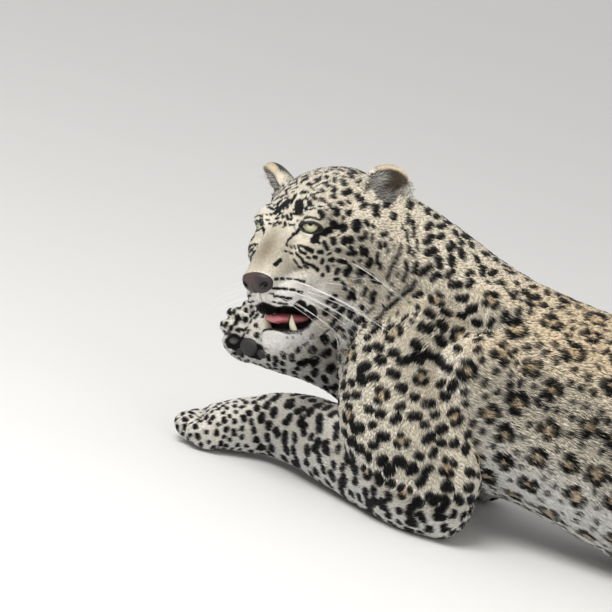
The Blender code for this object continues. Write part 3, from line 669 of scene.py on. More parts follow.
def makeSkin():
    pieces = bodyPieces() + placed(headPieces() + earCups(), headMatrix)
    skin = fused(objectFrom("skin", pieces), skinMake["voxel"], skinMake["smoothing"])
    print("skin fused", len(skin.data.vertices))
    points, normals = pointsOf(skin), normalsOf(skin)
    lies, shares = lieAt(points)
    depth = coatSizes(shares, "depth")[0]
    local = moved(points, inHead)
    rise = headFolds(local) * shareOf(shares, "head")
    points += normals * (rise - depth)[:, None]
    points[:, 2] = np.maximum(points[:, 2], floorHeight + 0.12)
    setPoints(skin, points)
    spare = skin.vertex_groups.new(name="spare")
    reach = skinMake["fineTo"]
    fine = (local[:, 0] < reach["back"]) & (np.abs(local[:, 1]) < reach["aside"])
    fine &= (local[:, 2] > reach["low"]) & (local[:, 2] < reach["high"])
    spare.add(np.flatnonzero(~fine).tolist(), 1.0, "REPLACE")
    count = sum(len(p.vertices) - 2 for p in skin.data.polygons)
    thin = skin.modifiers.new("thin", "DECIMATE")
    thin.ratio = min(skinMake["triangles"] / count, 1)
    thin.vertex_group = "spare"
    applied(skin)
    print("skin thinned", len(skin.data.polygons))
    cut(skin, [mouthGap(), nosePad(0.02), earCanal(-1), earCanal(1)], matrix=headMatrix)
    for side in (-1, 1):
        cut(skin, [lidOpening(side), ball(signed(eye["centre"], side), (eye["radius"] + 0.02,) * 3)],
            matrix=headMatrix)
    largestShell(skin)
    return skin


skin = makeSkin()
print("skin cut", len(skin.data.polygons))
skinPoints, skinNormals = pointsOf(skin), normalsOf(skin)
skinLies, skinShares = lieAt(skinPoints)
skinLocal = moved(skinPoints, inHead)
skinTriangles = trianglesOf(skin.data)
skinTree = BVHTree.FromPolygons(skinPoints.tolist(), skinTriangles.tolist())


def onSkin(x, y):
    # where the line of sight through a pixel meets the skin, and the normal there
    way = (pixelPlace(x, y) - cameraPlace).normalized()
    return skinTree.ray_cast(cameraPlace, way)[:2]


# Marks of the coat. Each is a short stroke: its two ends in pixels of the picture, and its width. They are
# laid on the skin along the line of sight, and those of the face are given to its other side too.
marks = {
    "face": [
        (294.9, 178.7, 294.6, 180.7, 3.3), (302, 182.7, 302.3, 183.8, 2.7),
        (309.3, 177.7, 307.6, 178.7, 2.8), (309, 185.4, 310.5, 185.9, 5.2),
        (316.4, 181.1, 319, 181.6, 4.4), (326.3, 177.7, 326.5, 179.4, 4.2),
        (324.4, 184.8, 327.4, 186.8, 3.7), (315, 175.7, 316.4, 175.6, 3),
        (320.4, 174.4, 320.5, 174.5, 2.8), (318.2, 171.6, 319.2, 171.2, 2.8),
        (325.1, 173.6, 327.1, 173.8, 3.1), (329.1, 171, 332.1, 171.7, 3.2),
        (338.5, 171.4, 342.5, 172.7, 3.9), (334.6, 175.4, 337.5, 176.1, 3.3),
        (341.1, 178.1, 344.5, 178.7, 2.9), (334.4, 179.4, 334.4, 183.8, 3.2),
        (333.4, 188.1, 335.4, 191.1, 3.2), (331.8, 192.5, 334.1, 194.5, 3.2),
        (331.1, 197.2, 334.4, 198.8, 3.8), (321, 191.1, 323.1, 193.1, 3.8),
        (313.3, 191.1, 315.4, 191.9, 1.7), (302.6, 193.1, 304.6, 193.1, 5),
        (296.3, 188.8, 297.7, 188.6, 2.4), (292.2, 193.1, 293.6, 192.5, 2.4),
        (295.9, 195.5, 291.6, 203.8, 2.9), (299.6, 202.5, 299.1, 212.9, 7.2),
        (307, 199.8, 307.6, 199.8, 2.7), (309.3, 202.5, 310, 205.5, 4), (311.3, 196.1, 311.8, 196.1, 2.8),
        (314, 198.4, 315.4, 199.3, 3.9), (320.7, 199.5, 323.9, 202.8, 3.5),
        (319.7, 207.9, 320.4, 207.9, 3.5), (325.4, 210.9, 325.5, 210.9, 2.8),
        (328.7, 205.5, 330.1, 209.5, 3.8), (336.1, 210.2, 335.4, 213.9, 5.9),
        (338.5, 203.5, 341.8, 205.9, 3.3), (314.3, 209.5, 306.3, 211.1, 3.1),
        (306, 208.5, 306.3, 211.2, 2.9), (331.9, 224.5, 335.4, 226.3, 6.4),
        (342.8, 228.3, 342.8, 230, 7.5), (338.5, 235.5, 338.6, 235.9, 2.4),
        (332.8, 239.7, 333.4, 243, 5.6), (328.7, 230.3, 321.4, 232.6, 5.9),
        (325.4, 233.3, 324.5, 236, 3.3), (317, 236, 313.7, 240.7, 6), (315, 239.3, 318.4, 242.7, 3.3),
        (323.7, 243.4, 326.4, 248.7, 4.6), (336.5, 250.4, 338.5, 250.4, 4),
        (318.4, 252.1, 321.7, 252.1, 3.5), (327.1, 254.4, 330.1, 252.4, 1.7), (314, 257.1, 316, 258, 3.1),
        (322, 260.1, 321.8, 262.1, 4.4), (329.1, 259.6, 331.9, 259.1, 4),
        (338.5, 260.4, 344.5, 261.8, 4.2), (333.1, 265.1, 333.2, 265.3, 1.7),
        (326.7, 267.5, 327.4, 269.5, 3.8), (300.6, 245.7, 306, 248.1, 2.5), (307, 248.7, 311.8, 251.3, 4),
        (297.9, 245.4, 299.9, 251.1, 1.7), (299.9, 251.1, 305.3, 253.7, 2.7),
        (307, 257.4, 309.7, 258.4, 2.4), (295.9, 252.7, 301.6, 258.8, 2.3),
        (301.6, 258.8, 303.3, 262.1, 2.7), (303.3, 262.1, 311, 264.9, 2.4), (311, 264.9, 318, 269.5, 2.7),
        (293.9, 259.8, 297.1, 263.8, 2), (298.6, 266.5, 301.8, 268, 2.3), (304, 265.5, 308, 267.8, 2.1),
        (286.2, 244.7, 287.2, 246, 2), (290.6, 246.4, 291.9, 248.4, 1.7),
        (294.3, 246.4, 295.6, 249.1, 1.6), (284.9, 251.1, 286.9, 251.7, 1.7),
        (289.9, 252.7, 292.2, 253.7, 1.9), (280.2, 260.4, 274.8, 264.8, 3.3),
        (287.7, 205.5, 287.4, 208.5, 2.5), (282.9, 208.9, 283.9, 209.7, 2.4),
        (279.5, 211.2, 280.2, 213.6, 2.4), (276.2, 211.2, 276.5, 211.6, 1.7),
        (274.7, 204.9, 274.3, 206.2, 2.1), (278.5, 203.8, 278, 206.2, 1.7),
        (272.6, 198.5, 273.2, 198.5, 2.1), (276.5, 196.1, 276.6, 196.8, 1.5),
        (278.5, 199.5, 277.8, 200.2, 1.7), (288.6, 196.8, 287.2, 199.2, 1.5),
        (270.7, 214.2, 271.1, 215.2, 2.5), (266.7, 214.4, 267.1, 214.9, 1.9),
        (276.2, 218.4, 278, 219, 2.8), (282.5, 216.2, 283.2, 218.2, 2.7),
        (286.9, 215.6, 287.7, 218.2, 2.7), (290.6, 213.6, 291.6, 216.9, 2),
        (266.5, 219.8, 269.1, 220.1, 1.7), (269.1, 223.8, 271.5, 224.7, 2),
        (275.5, 226, 276.3, 226.1, 1.5), (279.2, 223.6, 280.5, 223.8, 3.3),
        (285, 222.3, 285.5, 225.6, 2.3), (288.6, 223.6, 288.6, 223.7, 1.2),
        (291, 219.9, 291.1, 220.3, 1.3), (282.9, 227.3, 283.9, 227.3, 1.6),
        (266.5, 202.2, 266.9, 208.5, 2.7), (262.9, 214.2, 263.4, 223.3, 1.2),
        (254.4, 207.2, 256.1, 209.2, 3.3), (286.2, 192.1, 286.9, 193.8, 2),
        (282.9, 185.8, 283.9, 186.4, 1.7), (289.6, 185.8, 290.9, 186.4, 1.7),
        (280.9, 191.8, 279.5, 193.1, 1.2), (277.5, 188.4, 278.2, 188.1, 1.7),
        (297.6, 180.4, 296.9, 186.4, 1.5), (286.2, 181.1, 286.9, 181.4, 1.2),
        (300.6, 172.4, 298.9, 173, 2.7), (304.3, 170.4, 307, 169.7, 1.7),
        (319.7, 207.6, 320.1, 208.1, 3.8), (325.5, 210.8, 325.9, 210.8, 2.3),
        (348.5, 213.7, 348.9, 214.5, 6), (339, 203.7, 341.6, 205, 3.6), (346.8, 202.9, 349.1, 204.6, 3),
        (342.5, 218.1, 343, 219.2, 2.8), (356.4, 224, 356.4, 227.8, 8), (365.1, 222, 367.6, 225.5, 3.8),
        (372.1, 225.7, 373.6, 227.4, 3), (343.9, 239.8, 343.9, 241.9, 6), (349.8, 239, 350.4, 240.6, 6),
        (360.5, 238.6, 361.2, 238.8, 5), (365.1, 233.2, 365.1, 238, 3.8),
        (371.7, 234.2, 371.7, 242.1, 2.3), (381.7, 234.4, 381.7, 236.1, 3.6),
        (385.7, 233.2, 385.8, 235.2, 3.5), (379.6, 243.1, 379.4, 247.3, 3.5),
        (384.7, 243.9, 384.4, 246, 3.5), (390.8, 239.8, 391, 240.8, 2.3), (393.5, 245.2, 393, 248.1, 1.8),
        (388.1, 249.8, 386.9, 253.2, 2.3), (336.9, 250.2, 338.8, 250.2, 4.3),
        (318.9, 252.4, 321.7, 252.9, 3.2), (326.5, 254.3, 329.9, 253.1, 1.8),
        (349.8, 247.4, 352.1, 248.9, 3.8), (348.1, 253.1, 349.9, 253.1, 4.3),
        (353.5, 253.1, 355.1, 252.9, 4.5), (361.4, 247.3, 362.6, 254.3, 4.1),
        (366.7, 249.8, 366.7, 255.6, 3.3), (377.6, 253.1, 376.7, 263.8, 3),
        (380.6, 264.7, 379.6, 268.2, 3.3), (313.7, 256.8, 316.2, 257.6, 2.8),
        (322, 260.1, 322, 261.8, 4.1), (329, 259.5, 332.3, 259.9, 3.8), (338.3, 260.4, 345.2, 262.2, 3.6),
        (353.1, 261.4, 353.5, 261.5, 2.5), (359.3, 260.5, 360.9, 260.5, 2.8),
        (370.1, 260.5, 368.4, 264.7, 5.5), (348.9, 268.2, 345.4, 273.4, 6),
        (359.3, 272.1, 363.8, 272.6, 6), (337.7, 270.1, 335.7, 273, 4.1), (327.2, 268, 327.4, 270.5, 4),
        (321.7, 274.8, 322.6, 275.1, 3.5), (315.8, 268.8, 317.4, 270.5, 3),
        (334.4, 279.2, 337.7, 279.2, 2.7), (341, 282.1, 341.6, 282.3, 2.7),
        (343.3, 285.4, 344.4, 287.9, 4.1), (357.6, 278.4, 360.9, 278.4, 2.5),
        (353.1, 281.7, 361.8, 281.7, 1.8), (371.3, 275, 372.1, 278.8, 3.8), (375, 281.7, 380.4, 282.1, 3),
        (353.1, 290, 349.1, 296.6, 5), (353.1, 292.9, 354.3, 296.6, 5), (366.3, 288.7, 364, 294.4, 4.3),
        (374, 292.9, 372.1, 301, 5.3), (362.2, 304.9, 363, 307.8, 3.8), (400.5, 245.6, 398.5, 254.7, 3),
        (398.5, 254.7, 392, 265.9, 3.6), (392, 265.9, 386.7, 279.6, 3.3), (405.8, 261.4, 407, 271.3, 3.2),
        (407, 271.3, 402.7, 280.8, 3), (416.5, 263.4, 413.4, 272.1, 4.1),
        (412.1, 222.4, 412.8, 237.3, 3.6), (405.7, 231.9, 407, 241.5, 3),
        (401.8, 226.9, 401.2, 229.4, 2.7), (407.8, 215.8, 406.6, 224.9, 3.8),
        (408.5, 247.3, 408.8, 253.1, 3.2), (416.5, 240.6, 415.7, 249.8, 2.7),
        (413.8, 252.2, 412.6, 256.4, 2.8), (398.7, 273, 397.2, 276.3, 2.2), (392, 282.9, 392.5, 285, 2),
        (392.2, 292.7, 388.3, 297.4, 3.3), (407.8, 282.9, 404.3, 288.7, 1.7),
        (415.1, 281.3, 410.3, 289.6, 3.6), (410.3, 289.6, 402.8, 294.9, 3.3),
        (399.1, 299.1, 392, 305.3, 3.8), (392, 305.3, 384.6, 311.9, 4), (374.2, 306.6, 367.3, 312.8, 2.2),
        (381.7, 316.5, 374.6, 322.7, 5), (382.9, 304.6, 383.6, 305.7, 2),
        (399.1, 312.4, 397.4, 316.1, 2.7), (407.8, 316.1, 402.8, 321.1, 3),
        (417.3, 314.4, 416.1, 316.1, 3), (391.6, 319.4, 388.7, 322.7, 2.5),
        (411.5, 321.1, 412.8, 323.5, 3.6), (416.9, 307, 418.6, 308.6, 4.1),
        (409.5, 302.8, 411.5, 303.6, 2.5),
    ],
    "eyeLines": [
        (300.3, 225.6, 304.4, 218.6, 2.8), (304.4, 218.6, 311, 217.4, 2.7), (311, 217.4, 319, 219.8, 2.7),
        (319, 219.8, 330.1, 220.7, 2.9), (303.6, 231, 310.7, 232, 1.6), (310.7, 232, 317, 229.4, 1.2),
        (317, 229.4, 320.6, 223.9, 1.3), (300.6, 225.6, 302, 231, 4), (299.9, 228.6, 293.6, 234.7, 4.3),
        (293.6, 234.7, 287.9, 240.4, 2.5), (287.9, 240.4, 286.2, 244.7, 1.7),
        (246, 219.6, 261.4, 220.1, 1.1), (252.7, 221.9, 254.4, 228, 1.9), (254.4, 228, 259.6, 231.3, 2),
        (248.7, 229.6, 252.1, 234, 1.6), (252.1, 234, 256.4, 236.8, 1.7),
        (330.1, 220.7, 326.4, 217.9, 1.7),
    ],
    "muzzle": [
        (275.6, 279.4, 276.6, 279, 2.5), (281.5, 278.8, 282.8, 278.8, 2.4), (288.6, 279, 290, 279.2, 2.4),
        (295.6, 279.6, 297, 280, 2.4), (301.5, 281, 303, 281.6, 2.2), (268.6, 288, 269.2, 288, 1.5),
        (273.6, 288.4, 274.6, 288.4, 2.2), (278, 288.6, 279.4, 288.8, 2.4),
        (284.4, 288.8, 286, 289.2, 2.5), (291.6, 289.6, 293.4, 290.2, 2.4), (299, 291.6, 301, 292.6, 2.2),
        (271.4, 293.6, 272, 293.8, 1.6), (275.4, 296.4, 276.6, 296.6, 2.2), (281.4, 297, 283, 297.4, 2.3),
        (288.4, 297.8, 290, 298.6, 2.2), (273.6, 301.8, 274.4, 302, 1.7), (279.4, 303, 280.6, 303.2, 1.8),
        (284.6, 303.6, 285.8, 304, 1.8),
    ],
    "chin": [
        (286.4, 330.6, 286.8, 330.8, 2.3), (290, 333.4, 290.4, 333.6, 2.1), (292.6, 337, 293, 337.2, 2.1),
        (287, 337.6, 287.3, 337.8, 1.9), (294.6, 331.6, 295, 331.8, 2.0), (300.6, 334, 301, 334.2, 2.0),
    ],
    # the black lips and the dark round the mouth's corner, partly real black and partly painted shadow
    "lipsAndShadow": [
        (300, 305, 312, 317, 12), (310, 309, 320, 321, 10), (298, 327, 314, 323, 7),
        (284, 299, 303, 303, 4),
    ],
    "paw": [(232, 341, 258, 352, 17)],
}


# How the marks are laid: how softly and how raggedly they end, the gap between rosettes, how much wider the
# strokes of the face are drawn, the thickness of a rosette's ring as a share of its radius, how much longer
# the rows of the muzzle are, how far back the drawn face reaches, and the most marks and tries
pattern = {"seed": 7, "soft": 0.05, "ragged": 0.03, "apart": 0.06, "faceWider": 1.34, "thick": 0.53,
           "rowLonger": 1.1, "faceEnd": 10.5, "most": 12000, "rosetteTries": 40000}
cellSize, cellsAcross = 1.5, 1024


def cellOf(points):
    return np.floor(points / cellSize).astype(np.int64) + cellsAcross // 2


def inCells(points):
    # the points sorted by the cell of space that each is in
    cells = cellOf(points)
    keys = (cells[:, 0] * cellsAcross + cells[:, 1]) * cellsAcross + cells[:, 2]
    order = np.argsort(keys, kind="stable")
    return keys[order], order


def near(cells, centre, reach):
    keys, order = cells
    low, high = cellOf(centre - reach), cellOf(centre + reach)
    found = []
    for i in range(low[0], high[0] + 1):
        for j in range(low[1], high[1] + 1):
            row = (i * cellsAcross + j) * cellsAcross
            a, b = np.searchsorted(keys, (row + low[2], row + high[2] + 1))
            found.append(order[a:b])
    return np.concatenate(found)


def faceStrokes():
    # each stroke as two ends, the normal, and half its width
    strokes = []
    for name, rows in marks.items():
        longer = pattern["rowLonger"] if name == "muzzle" else 0
        for x0, y0, x1, y1, width in rows:
            (a, na), (b, nb) = onSkin(x0 - longer, y0), onSkin(x1 + longer, y1)
            if a is None or b is None or (a - b).length > 6:
                continue
            normal = (na + nb).normalized()
            wider = pattern["faceWider"] if name in ("face", "muzzle", "chin") else 1
            half = 0.5 * (width * wider) * view["pixel"]
            strokes.append((np.array(a), np.array(b), np.array(normal), half))
            ends = [inHead @ a, inHead @ b]
            if name == "paw" or max(e.x for e in ends) > 19 or min(abs(e.y) for e in ends) < 0.5:
                continue
            a, b = (headMatrix @ signed(e, -1) for e in ends)
            normal = headMatrix.to_3x3() @ signed(inHead.to_3x3() @ normal, -1)
            strokes.append((np.array(a), np.array(b), np.array(normal), half))
    return strokes


def rosette(random, p, n, along, across, ring, thick):
    # a broken ring of blobs
    strokes = []
    pieces = max(2, int(round(2 * math.pi * ring / random.uniform(1.35, 2.1))))
    slot = 2 * math.pi / pieces
    turn = random.uniform(0, 2 * math.pi)
    for k in range(pieces):
        wide = thick * random.uniform(0.8, 1.2)
        reach = max(0.05, slot - (2 * wide + random.uniform(-0.1, 0.4)) / ring)
        start = turn + k * slot + random.uniform(-0.1, 0.1)
        swell = random.uniform(0.92, 1.08)
        bends = [p + ring * swell * (math.cos(t) * along * 1.06 + math.sin(t) * across)
                 for t in np.linspace(start, start + reach, 4)]
        for a, b in zip(bends, bends[1:]):
            strokes.append((a, b, n, wide * random.uniform(0.9, 1.1)))
    return strokes


def patternStrokes(known):
    # rosettes first, then spots in the room that is left, at distances that follow the region
    random = np.random.default_rng(pattern["seed"])
    spacing, size, chance, ring = coatSizes(skinShares, "spacing", "spot", "rosettes", "ring")
    neckShare, headShare = shareOf(skinShares, "neck"), shareOf(skinShares, "head", "ear")
    drawn = (skinLocal[:, 0] < pattern["faceEnd"]) | (shareOf(skinShares, "ear") > 0.3)
    free = ~((headShare > 0.5) & drawn)
    order = random.permutation(np.flatnonzero(free))
    places = np.zeros((pattern["most"], 3))
    edges = np.full(len(places), 0.30)
    gaps = np.zeros(len(places))
    count = 0
    for a, b, n, r in known:
        for q in (a, b):
            places[count], edges[count] = q, r
            count += 1
    first = count
    strokes, centres = [], []
    for v in order[:pattern["rosetteTries"]]:
        if chance[v] < 0.12:
            continue
        p, n = skinPoints[v], skinNormals[v]
        thick = pattern["thick"] * ring[v]
        outer = ring[v] + thick
        far = np.linalg.norm(places[:count] - p, axis=1)
        apart = np.maximum(gaps[:count], (2 * outer + pattern["apart"]) / math.sqrt(chance[v]))
        need = np.where(gaps[:count] > 0, apart, edges[:count] + outer + 0.15)
        if (far < need).any():
            continue
        places[count], edges[count] = p, outer
        gaps[count] = 2 * outer + pattern["apart"]
        count += 1
        along = onSurface(skinLies[v : v + 1], n[None])[0]
        reach = ring[v] * random.uniform(0.85, 1.1)
        strokes += rosette(random, p, n, along, np.cross(n, along), reach, thick)
        centres.append((p, n, ring[v]))
    afterRosettes = count
    gaps[:count] = 0
    for v in order:
        if count >= len(places) - 1:
            break
        p, n = skinPoints[v], skinNormals[v]
        along = onSurface(skinLies[v : v + 1], n[None])[0]
        across = np.cross(n, along)
        off = places[:count] - p
        side = off @ across
        far = np.sqrt(np.maximum((off**2).sum(axis=1) - 0.55 * neckShare[v] * side**2, 0))
        need = np.where(gaps[:count] > 0, 0.5 * (gaps[:count] + spacing[v]), edges[:count] + size[v] + 0.14)
        if (far < need).any():
            continue
        s = size[v] * random.uniform(0.78, 1.1)
        places[count], edges[count], gaps[count] = p, s, spacing[v]
        count += 1
        stretch = random.uniform(0.15, 0.6) + neckShare[v] * random.uniform(0.2, 0.8)
        lean = random.normal(0, 0.4)
        way = (across * math.cos(lean) + along * math.sin(lean)) * s * stretch
        strokes.append((p - way, p + way, n, s * random.uniform(0.85, 1.0)))
        if random.random() < 0.35 and headShare[v] < 0.3:
            bend = p + way + (along * random.choice((-1, 1)) + 0.3 * across) * s * random.uniform(0.4, 0.9)
            strokes.append((p + way, bend, n, s * 0.72))
    print("rosettes", afterRosettes - first, "spots", count - afterRosettes)
    return strokes, centres


def darkness(points, normals, strokes, centres):
    # how much each point is in a mark, and how much inside a rosette
    cells = inCells(points)
    wave = np.sin(points @ np.array((5.1, 3.7, 4.3))) + np.sin(points @ np.array((-3.3, 6.1, 5.7)) + 1.0)
    wave += np.sin(points @ np.array((9.7, -7.9, 8.3)) + 2.0)
    ragged = pattern["ragged"] * wave
    dark, inner = np.zeros(len(points)), np.zeros(len(points))
    for a, b, n, r in strokes:
        middle, half = (a + b) / 2, np.linalg.norm(a - b) / 2
        close = near(cells, middle, half + r + 0.35)
        close = close[normals[close] @ n > 0.1]
        q = points[close] - a
        q = q - 0.7 * (q @ n)[:, None] * n
        axis = b - a
        t = np.clip((q @ axis) / max(axis @ axis, 1e-6), 0, 1)[:, None]
        far = np.linalg.norm(q - t * axis, axis=1) + ragged[close] * min(1, r / 0.5)
        dark[close] = np.maximum(dark[close], smoothStep(r + pattern["soft"], r - pattern["soft"], far))
    for p, n, ring in centres:
        close = near(cells, p, ring + 0.3)
        close = close[normals[close] @ n > 0.1]
        far = np.linalg.norm(points[close] - p, axis=1)
        inner[close] = np.maximum(inner[close], smoothStep(ring + 0.15, ring - 0.35, far))
    return dark, inner


# Ground colours of the coat, as they look on a screen in even light
ground = {
    "cream": (233, 225, 207), "tan": (214, 191, 153), "white": (244, 242, 237), "grey": (146, 131, 108),
    "rosette": (202, 177, 138), "black": (12, 10, 9), "lip": (9, 8, 8), "earBack": (20, 16, 13),
    # the mouth colour is the inside of the mouth darkened by painted shade
    "earInner": (98, 86, 71), "mouth": (32, 14, 14),
}


def linear(colour):
    return (np.array(colour) / 255) ** 2.2


def screen(name):
    return linear(ground[name])


def blend(colours, name, amount):
    amount = np.clip(amount, 0, 1)[:, None]
    return colours * (1 - amount) + screen(name) * amount


def patchAt(local, centre, radii):
    # 1 at the centre and falling off round it, on both sides of the head
    q = local.copy()
    q[:, 1] = np.abs(q[:, 1])
    return np.exp(-(((q - np.array(centre)) / np.array(radii)) ** 2).sum(axis=1))


# tints of the face: colour, amount, centre and radii
faceTints = [
    # the bridge's grey-tan is partly its own darker colour and partly painted shade
    ("grey", 0.95, (4.2, 0, 1.9), (3.7, 1.75, 2.4)),  # bridge of the nose
    ("grey", 0.35, (6.0, 2.6, -0.6), (2.6, 1.6, 1.0)),
    ("white", 0.9, (8.6, 1.5, 2.2), (2.2, 0.55, 1.6)),  # inner corner of the eye
    ("white", 0.9, (9.6, 3.3, 6.0), (0.9, 1.6, 0.8)),  # over the eye
    ("white", 0.9, (9.0, 3.6, 0.6), (1.3, 1.8, 0.7)),  # under the eye
    ("white", 0.9, (3.4, 2.2, -4.0), (2.4, 1.8, 2.2)),  # whisker pad
    ("white", 0.9, (3.5, 0.6, -9.0), (3.2, 3.4, 2.6)),  # chin
]


def coatColours(points, normals, shares, dark, inner):
    local = moved(points, inHead)
    onHead = shareOf(shares, "head", "ear")
    body = 1 - onHead
    colours = np.tile(screen("cream"), (len(points), 1))
    upper = smoothStep(0.1, 0.9, normals[:, 2]) * body
    colours = blend(colours, "tan", 0.6 * upper * shareOf(shares, "trunk") + 0.25 * upper)
    colours = blend(colours, "white", 0.6 * shareOf(shares, "forearm", "forepaw", "shank", "hindPaw"))
    low = smoothStep(0.0, -0.6, normals[:, 2]) * body
    belly = smoothStep(9, 3, points[:, 2]) * shareOf(shares, "trunk")
    colours = blend(colours, "white", low + 0.8 * belly)
    # face
    face = onHead * smoothStep(20, 15, local[:, 0])
    colours = blend(colours, "white", face * smoothStep(0.5, -4.0, local[:, 2]) * 0.8)
    for name, amount, centre, radii in faceTints:
        colours = blend(colours, name, amount * face * patchAt(local, centre, radii))
    # ears: dark behind with a pale patch, tan rim, grey within, and painted shade black in the canal
    wide, high = earForm["radii"][1:]
    for side in (-1, 1):
        turn = np.array(rotated(earTurn(side)).to_3x3())
        q = (local - np.array(signed(earForm["centre"], side))) @ turn
        onEar = smoothStep(0.35, 0.7, shareOf(shares, "ear")) * (local[:, 1] * side > 0)
        behind = smoothStep(-0.25, 0.25, (normals @ headTurn @ turn)[:, 0])
        rim = smoothStep(0.90, 0.99, np.sqrt((q[:, 1] / wide) ** 2 + (q[:, 2] / high) ** 2))
        pale = np.exp(-((q[:, 1] / 1.5) ** 2) - ((q[:, 2] - 0.9) / 1.2) ** 2)
        colours = blend(colours, "earBack", onEar * behind * (1 - pale) * (1 - 0.8 * rim))
        colours = blend(colours, "earInner", onEar * (1 - behind) * (1 - rim) * 0.9)
        colours = blend(colours, "tan", onEar * rim * 0.8)
        # painted shade: low in the cup the canal is drawn black, the shadow inside the hollow
        canal = smoothStep(0.2, -0.9, q[:, 2]) * smoothStep(3.2, 2.2, np.abs(q[:, 1])) * (q[:, 0] < 1.2)
        canal = canal * smoothStep(-4.6, -3.2, q[:, 2]) * (local[:, 1] * side > 0)
        colours = blend(colours, "black", onHead * (1 - behind) * canal * 0.95)
    colours = blend(colours, "rosette", 0.75 * inner * body)
    colours = blend(colours, "black", dark)
    # lips
    upperLip, lowerLip = lipHeights(local[:, 0], local[:, 1])
    along = onHead * (local[:, 0] < mouth["corner"] + 1.0) * (local[:, 0] > -1)
    edge = np.maximum(smoothStep(0.30, 0.16, np.abs(local[:, 2] - upperLip - 0.05)),
                      smoothStep(0.42, 0.26, np.abs(local[:, 2] - lowerLip + 0.1)))
    return blend(colours, "lip", along * edge)


knownStrokes = faceStrokes()
bodyStrokes, rosettes = patternStrokes(knownStrokes)
strokes = knownStrokes + bodyStrokes
print("marks laid", len(strokes))


# Materials
def newMaterial(name, **sockets):
    made = bpy.data.materials.new(name)
    made.use_nodes = True
    shader = made.node_tree.nodes["Principled BSDF"]
    for key, value in sockets.items():
        shader.inputs[key.replace("_", " ")].default_value = value
    return made, made.node_tree, shader


def noiseNode(tree, scale, detail=3.0, stretch=(1, 1, 1)):
    place = tree.nodes.new("ShaderNodeTexCoord")
    mapping = tree.nodes.new("ShaderNodeMapping")
    mapping.inputs["Scale"].default_value = stretch
    noise = tree.nodes.new("ShaderNodeTexNoise")
    noise.inputs["Scale"].default_value = scale
    noise.inputs["Detail"].default_value = detail
    tree.links.new(place.outputs["Object"], mapping.inputs["Vector"])
    tree.links.new(mapping.outputs["Vector"], noise.inputs["Vector"])
    return noise


def addBump(tree, shader, height, strength, distance):
    bump = tree.nodes.new("ShaderNodeBump")
    bump.inputs["Strength"].default_value = strength
    bump.inputs["Distance"].default_value = distance
    tree.links.new(height, bump.inputs["Height"])
    tree.links.new(bump.outputs["Normal"], shader.inputs["Normal"])


def variedTint(tree, shader, noise, low, high):
    # the painted tint, made a little lighter and darker by the noise
    tint = tree.nodes.new("ShaderNodeAttribute")
    tint.attribute_name = "tint"
    spread = tree.nodes.new("ShaderNodeMapRange")
    spread.inputs["To Min"].default_value = low
    spread.inputs["To Max"].default_value = high
    mix = tree.nodes.new("ShaderNodeVectorMath")
    mix.operation = "SCALE"
    tree.links.new(noise.outputs["Fac"], spread.inputs["Value"])
    tree.links.new(tint.outputs["Color"], mix.inputs[0])
    tree.links.new(spread.outputs["Result"], mix.inputs["Scale"])
    tree.links.new(mix.outputs["Vector"], shader.inputs["Base Color"])


def rampTint(tree, shader, noise, low, high):
    # from one colour to the other by the noise
    ramp = tree.nodes.new("ShaderNodeValToRGB")
    for element, colour in zip(ramp.color_ramp.elements, (low, high)):
        element.color = (*colour, 1)
    tree.links.new(noise.outputs["Fac"], ramp.inputs["Fac"])
    tree.links.new(ramp.outputs["Color"], shader.inputs["Base Color"])


def furMaterial(name, roughness, low, high, bump):
    made, tree, shader = newMaterial(name, Roughness=roughness, Specular_IOR_Level=0.25, Sheen_Weight=0.08,
                                     Sheen_Roughness=0.5)
    variedTint(tree, shader, noiseNode(tree, 260), low, high)
    addBump(tree, shader, noiseNode(tree, 900, 4).outputs["Fac"], 0.5, bump)
    return made


# painted shade: the skin's tint is scaled down to between 0.74 and 1.0 of its colour, the shade beneath the
# hair
furSkin = furMaterial("fur skin", 0.85, 0.74, 1.0, 0.0005)
furTuft = furMaterial("fur tuft", 0.68, 0.88, 1.10, 0.0001)


def given(thing, material):
    thing.data.materials.clear()
    thing.data.materials.append(material)
    return thing


def shown(thing, material, nodes=()):
    given(thing, material)
    thing.data.shade_smooth()
    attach(thing, "root")
    if nodes:
        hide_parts(*nodes)
    return thing


def dressSkin():
    dark, inner = darkness(skinPoints, skinNormals, strokes, rosettes)
    colours = coatColours(skinPoints, skinNormals, skinShares, dark, inner)
    upper, lower = lipHeights(skinLocal[:, 0], skinLocal[:, 1])
    within = (np.abs(skinLocal[:, 2] - upper) < 0.03) | (np.abs(skinLocal[:, 2] - lower) < 0.03)
    within &= (skinLocal[:, 0] < 7.7) & (np.abs(skinLocal[:, 1]) < 6) & (skinLocal[:, 0] > -2)
    colours[within] = screen("lip")
    # painted shade: deep inside, the mouth is drawn near-black red, the shade in the cavity
    deep = within & (np.abs(skinLocal[:, 1]) < 2.4) & (skinLocal[:, 0] > 2.2)
    colours[deep] = screen("mouth")
    paint(skin.data, colours)
    flesh = [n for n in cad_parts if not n.startswith(("eye", "tongue", "lower", "nose"))]
    setPoints(skin, toFrame(skinPoints))
    shown(skin, furSkin, flesh)
    return within


inMouth = dressSkin()
print("skin dressed")


# Coat of tufts. A tuft of more than the length "long" has a bend, "patch" is its size on the map, and
# "tintsAt" says where along it the marks are read
coatMake = {"seed": 11, "most": 345000, "long": 2.3, "patch": 0.003,
            "tintsAt": (0.08, 0.45, 0.8), "mapTriangles": 9000, "fewest": 20, "lidClear": (1.34, 0.78),
            "longer": {"ruff": 0.9, "nose": 0.40, "throat": 0.6, "chin": 1.0, "belly": 0.8}}


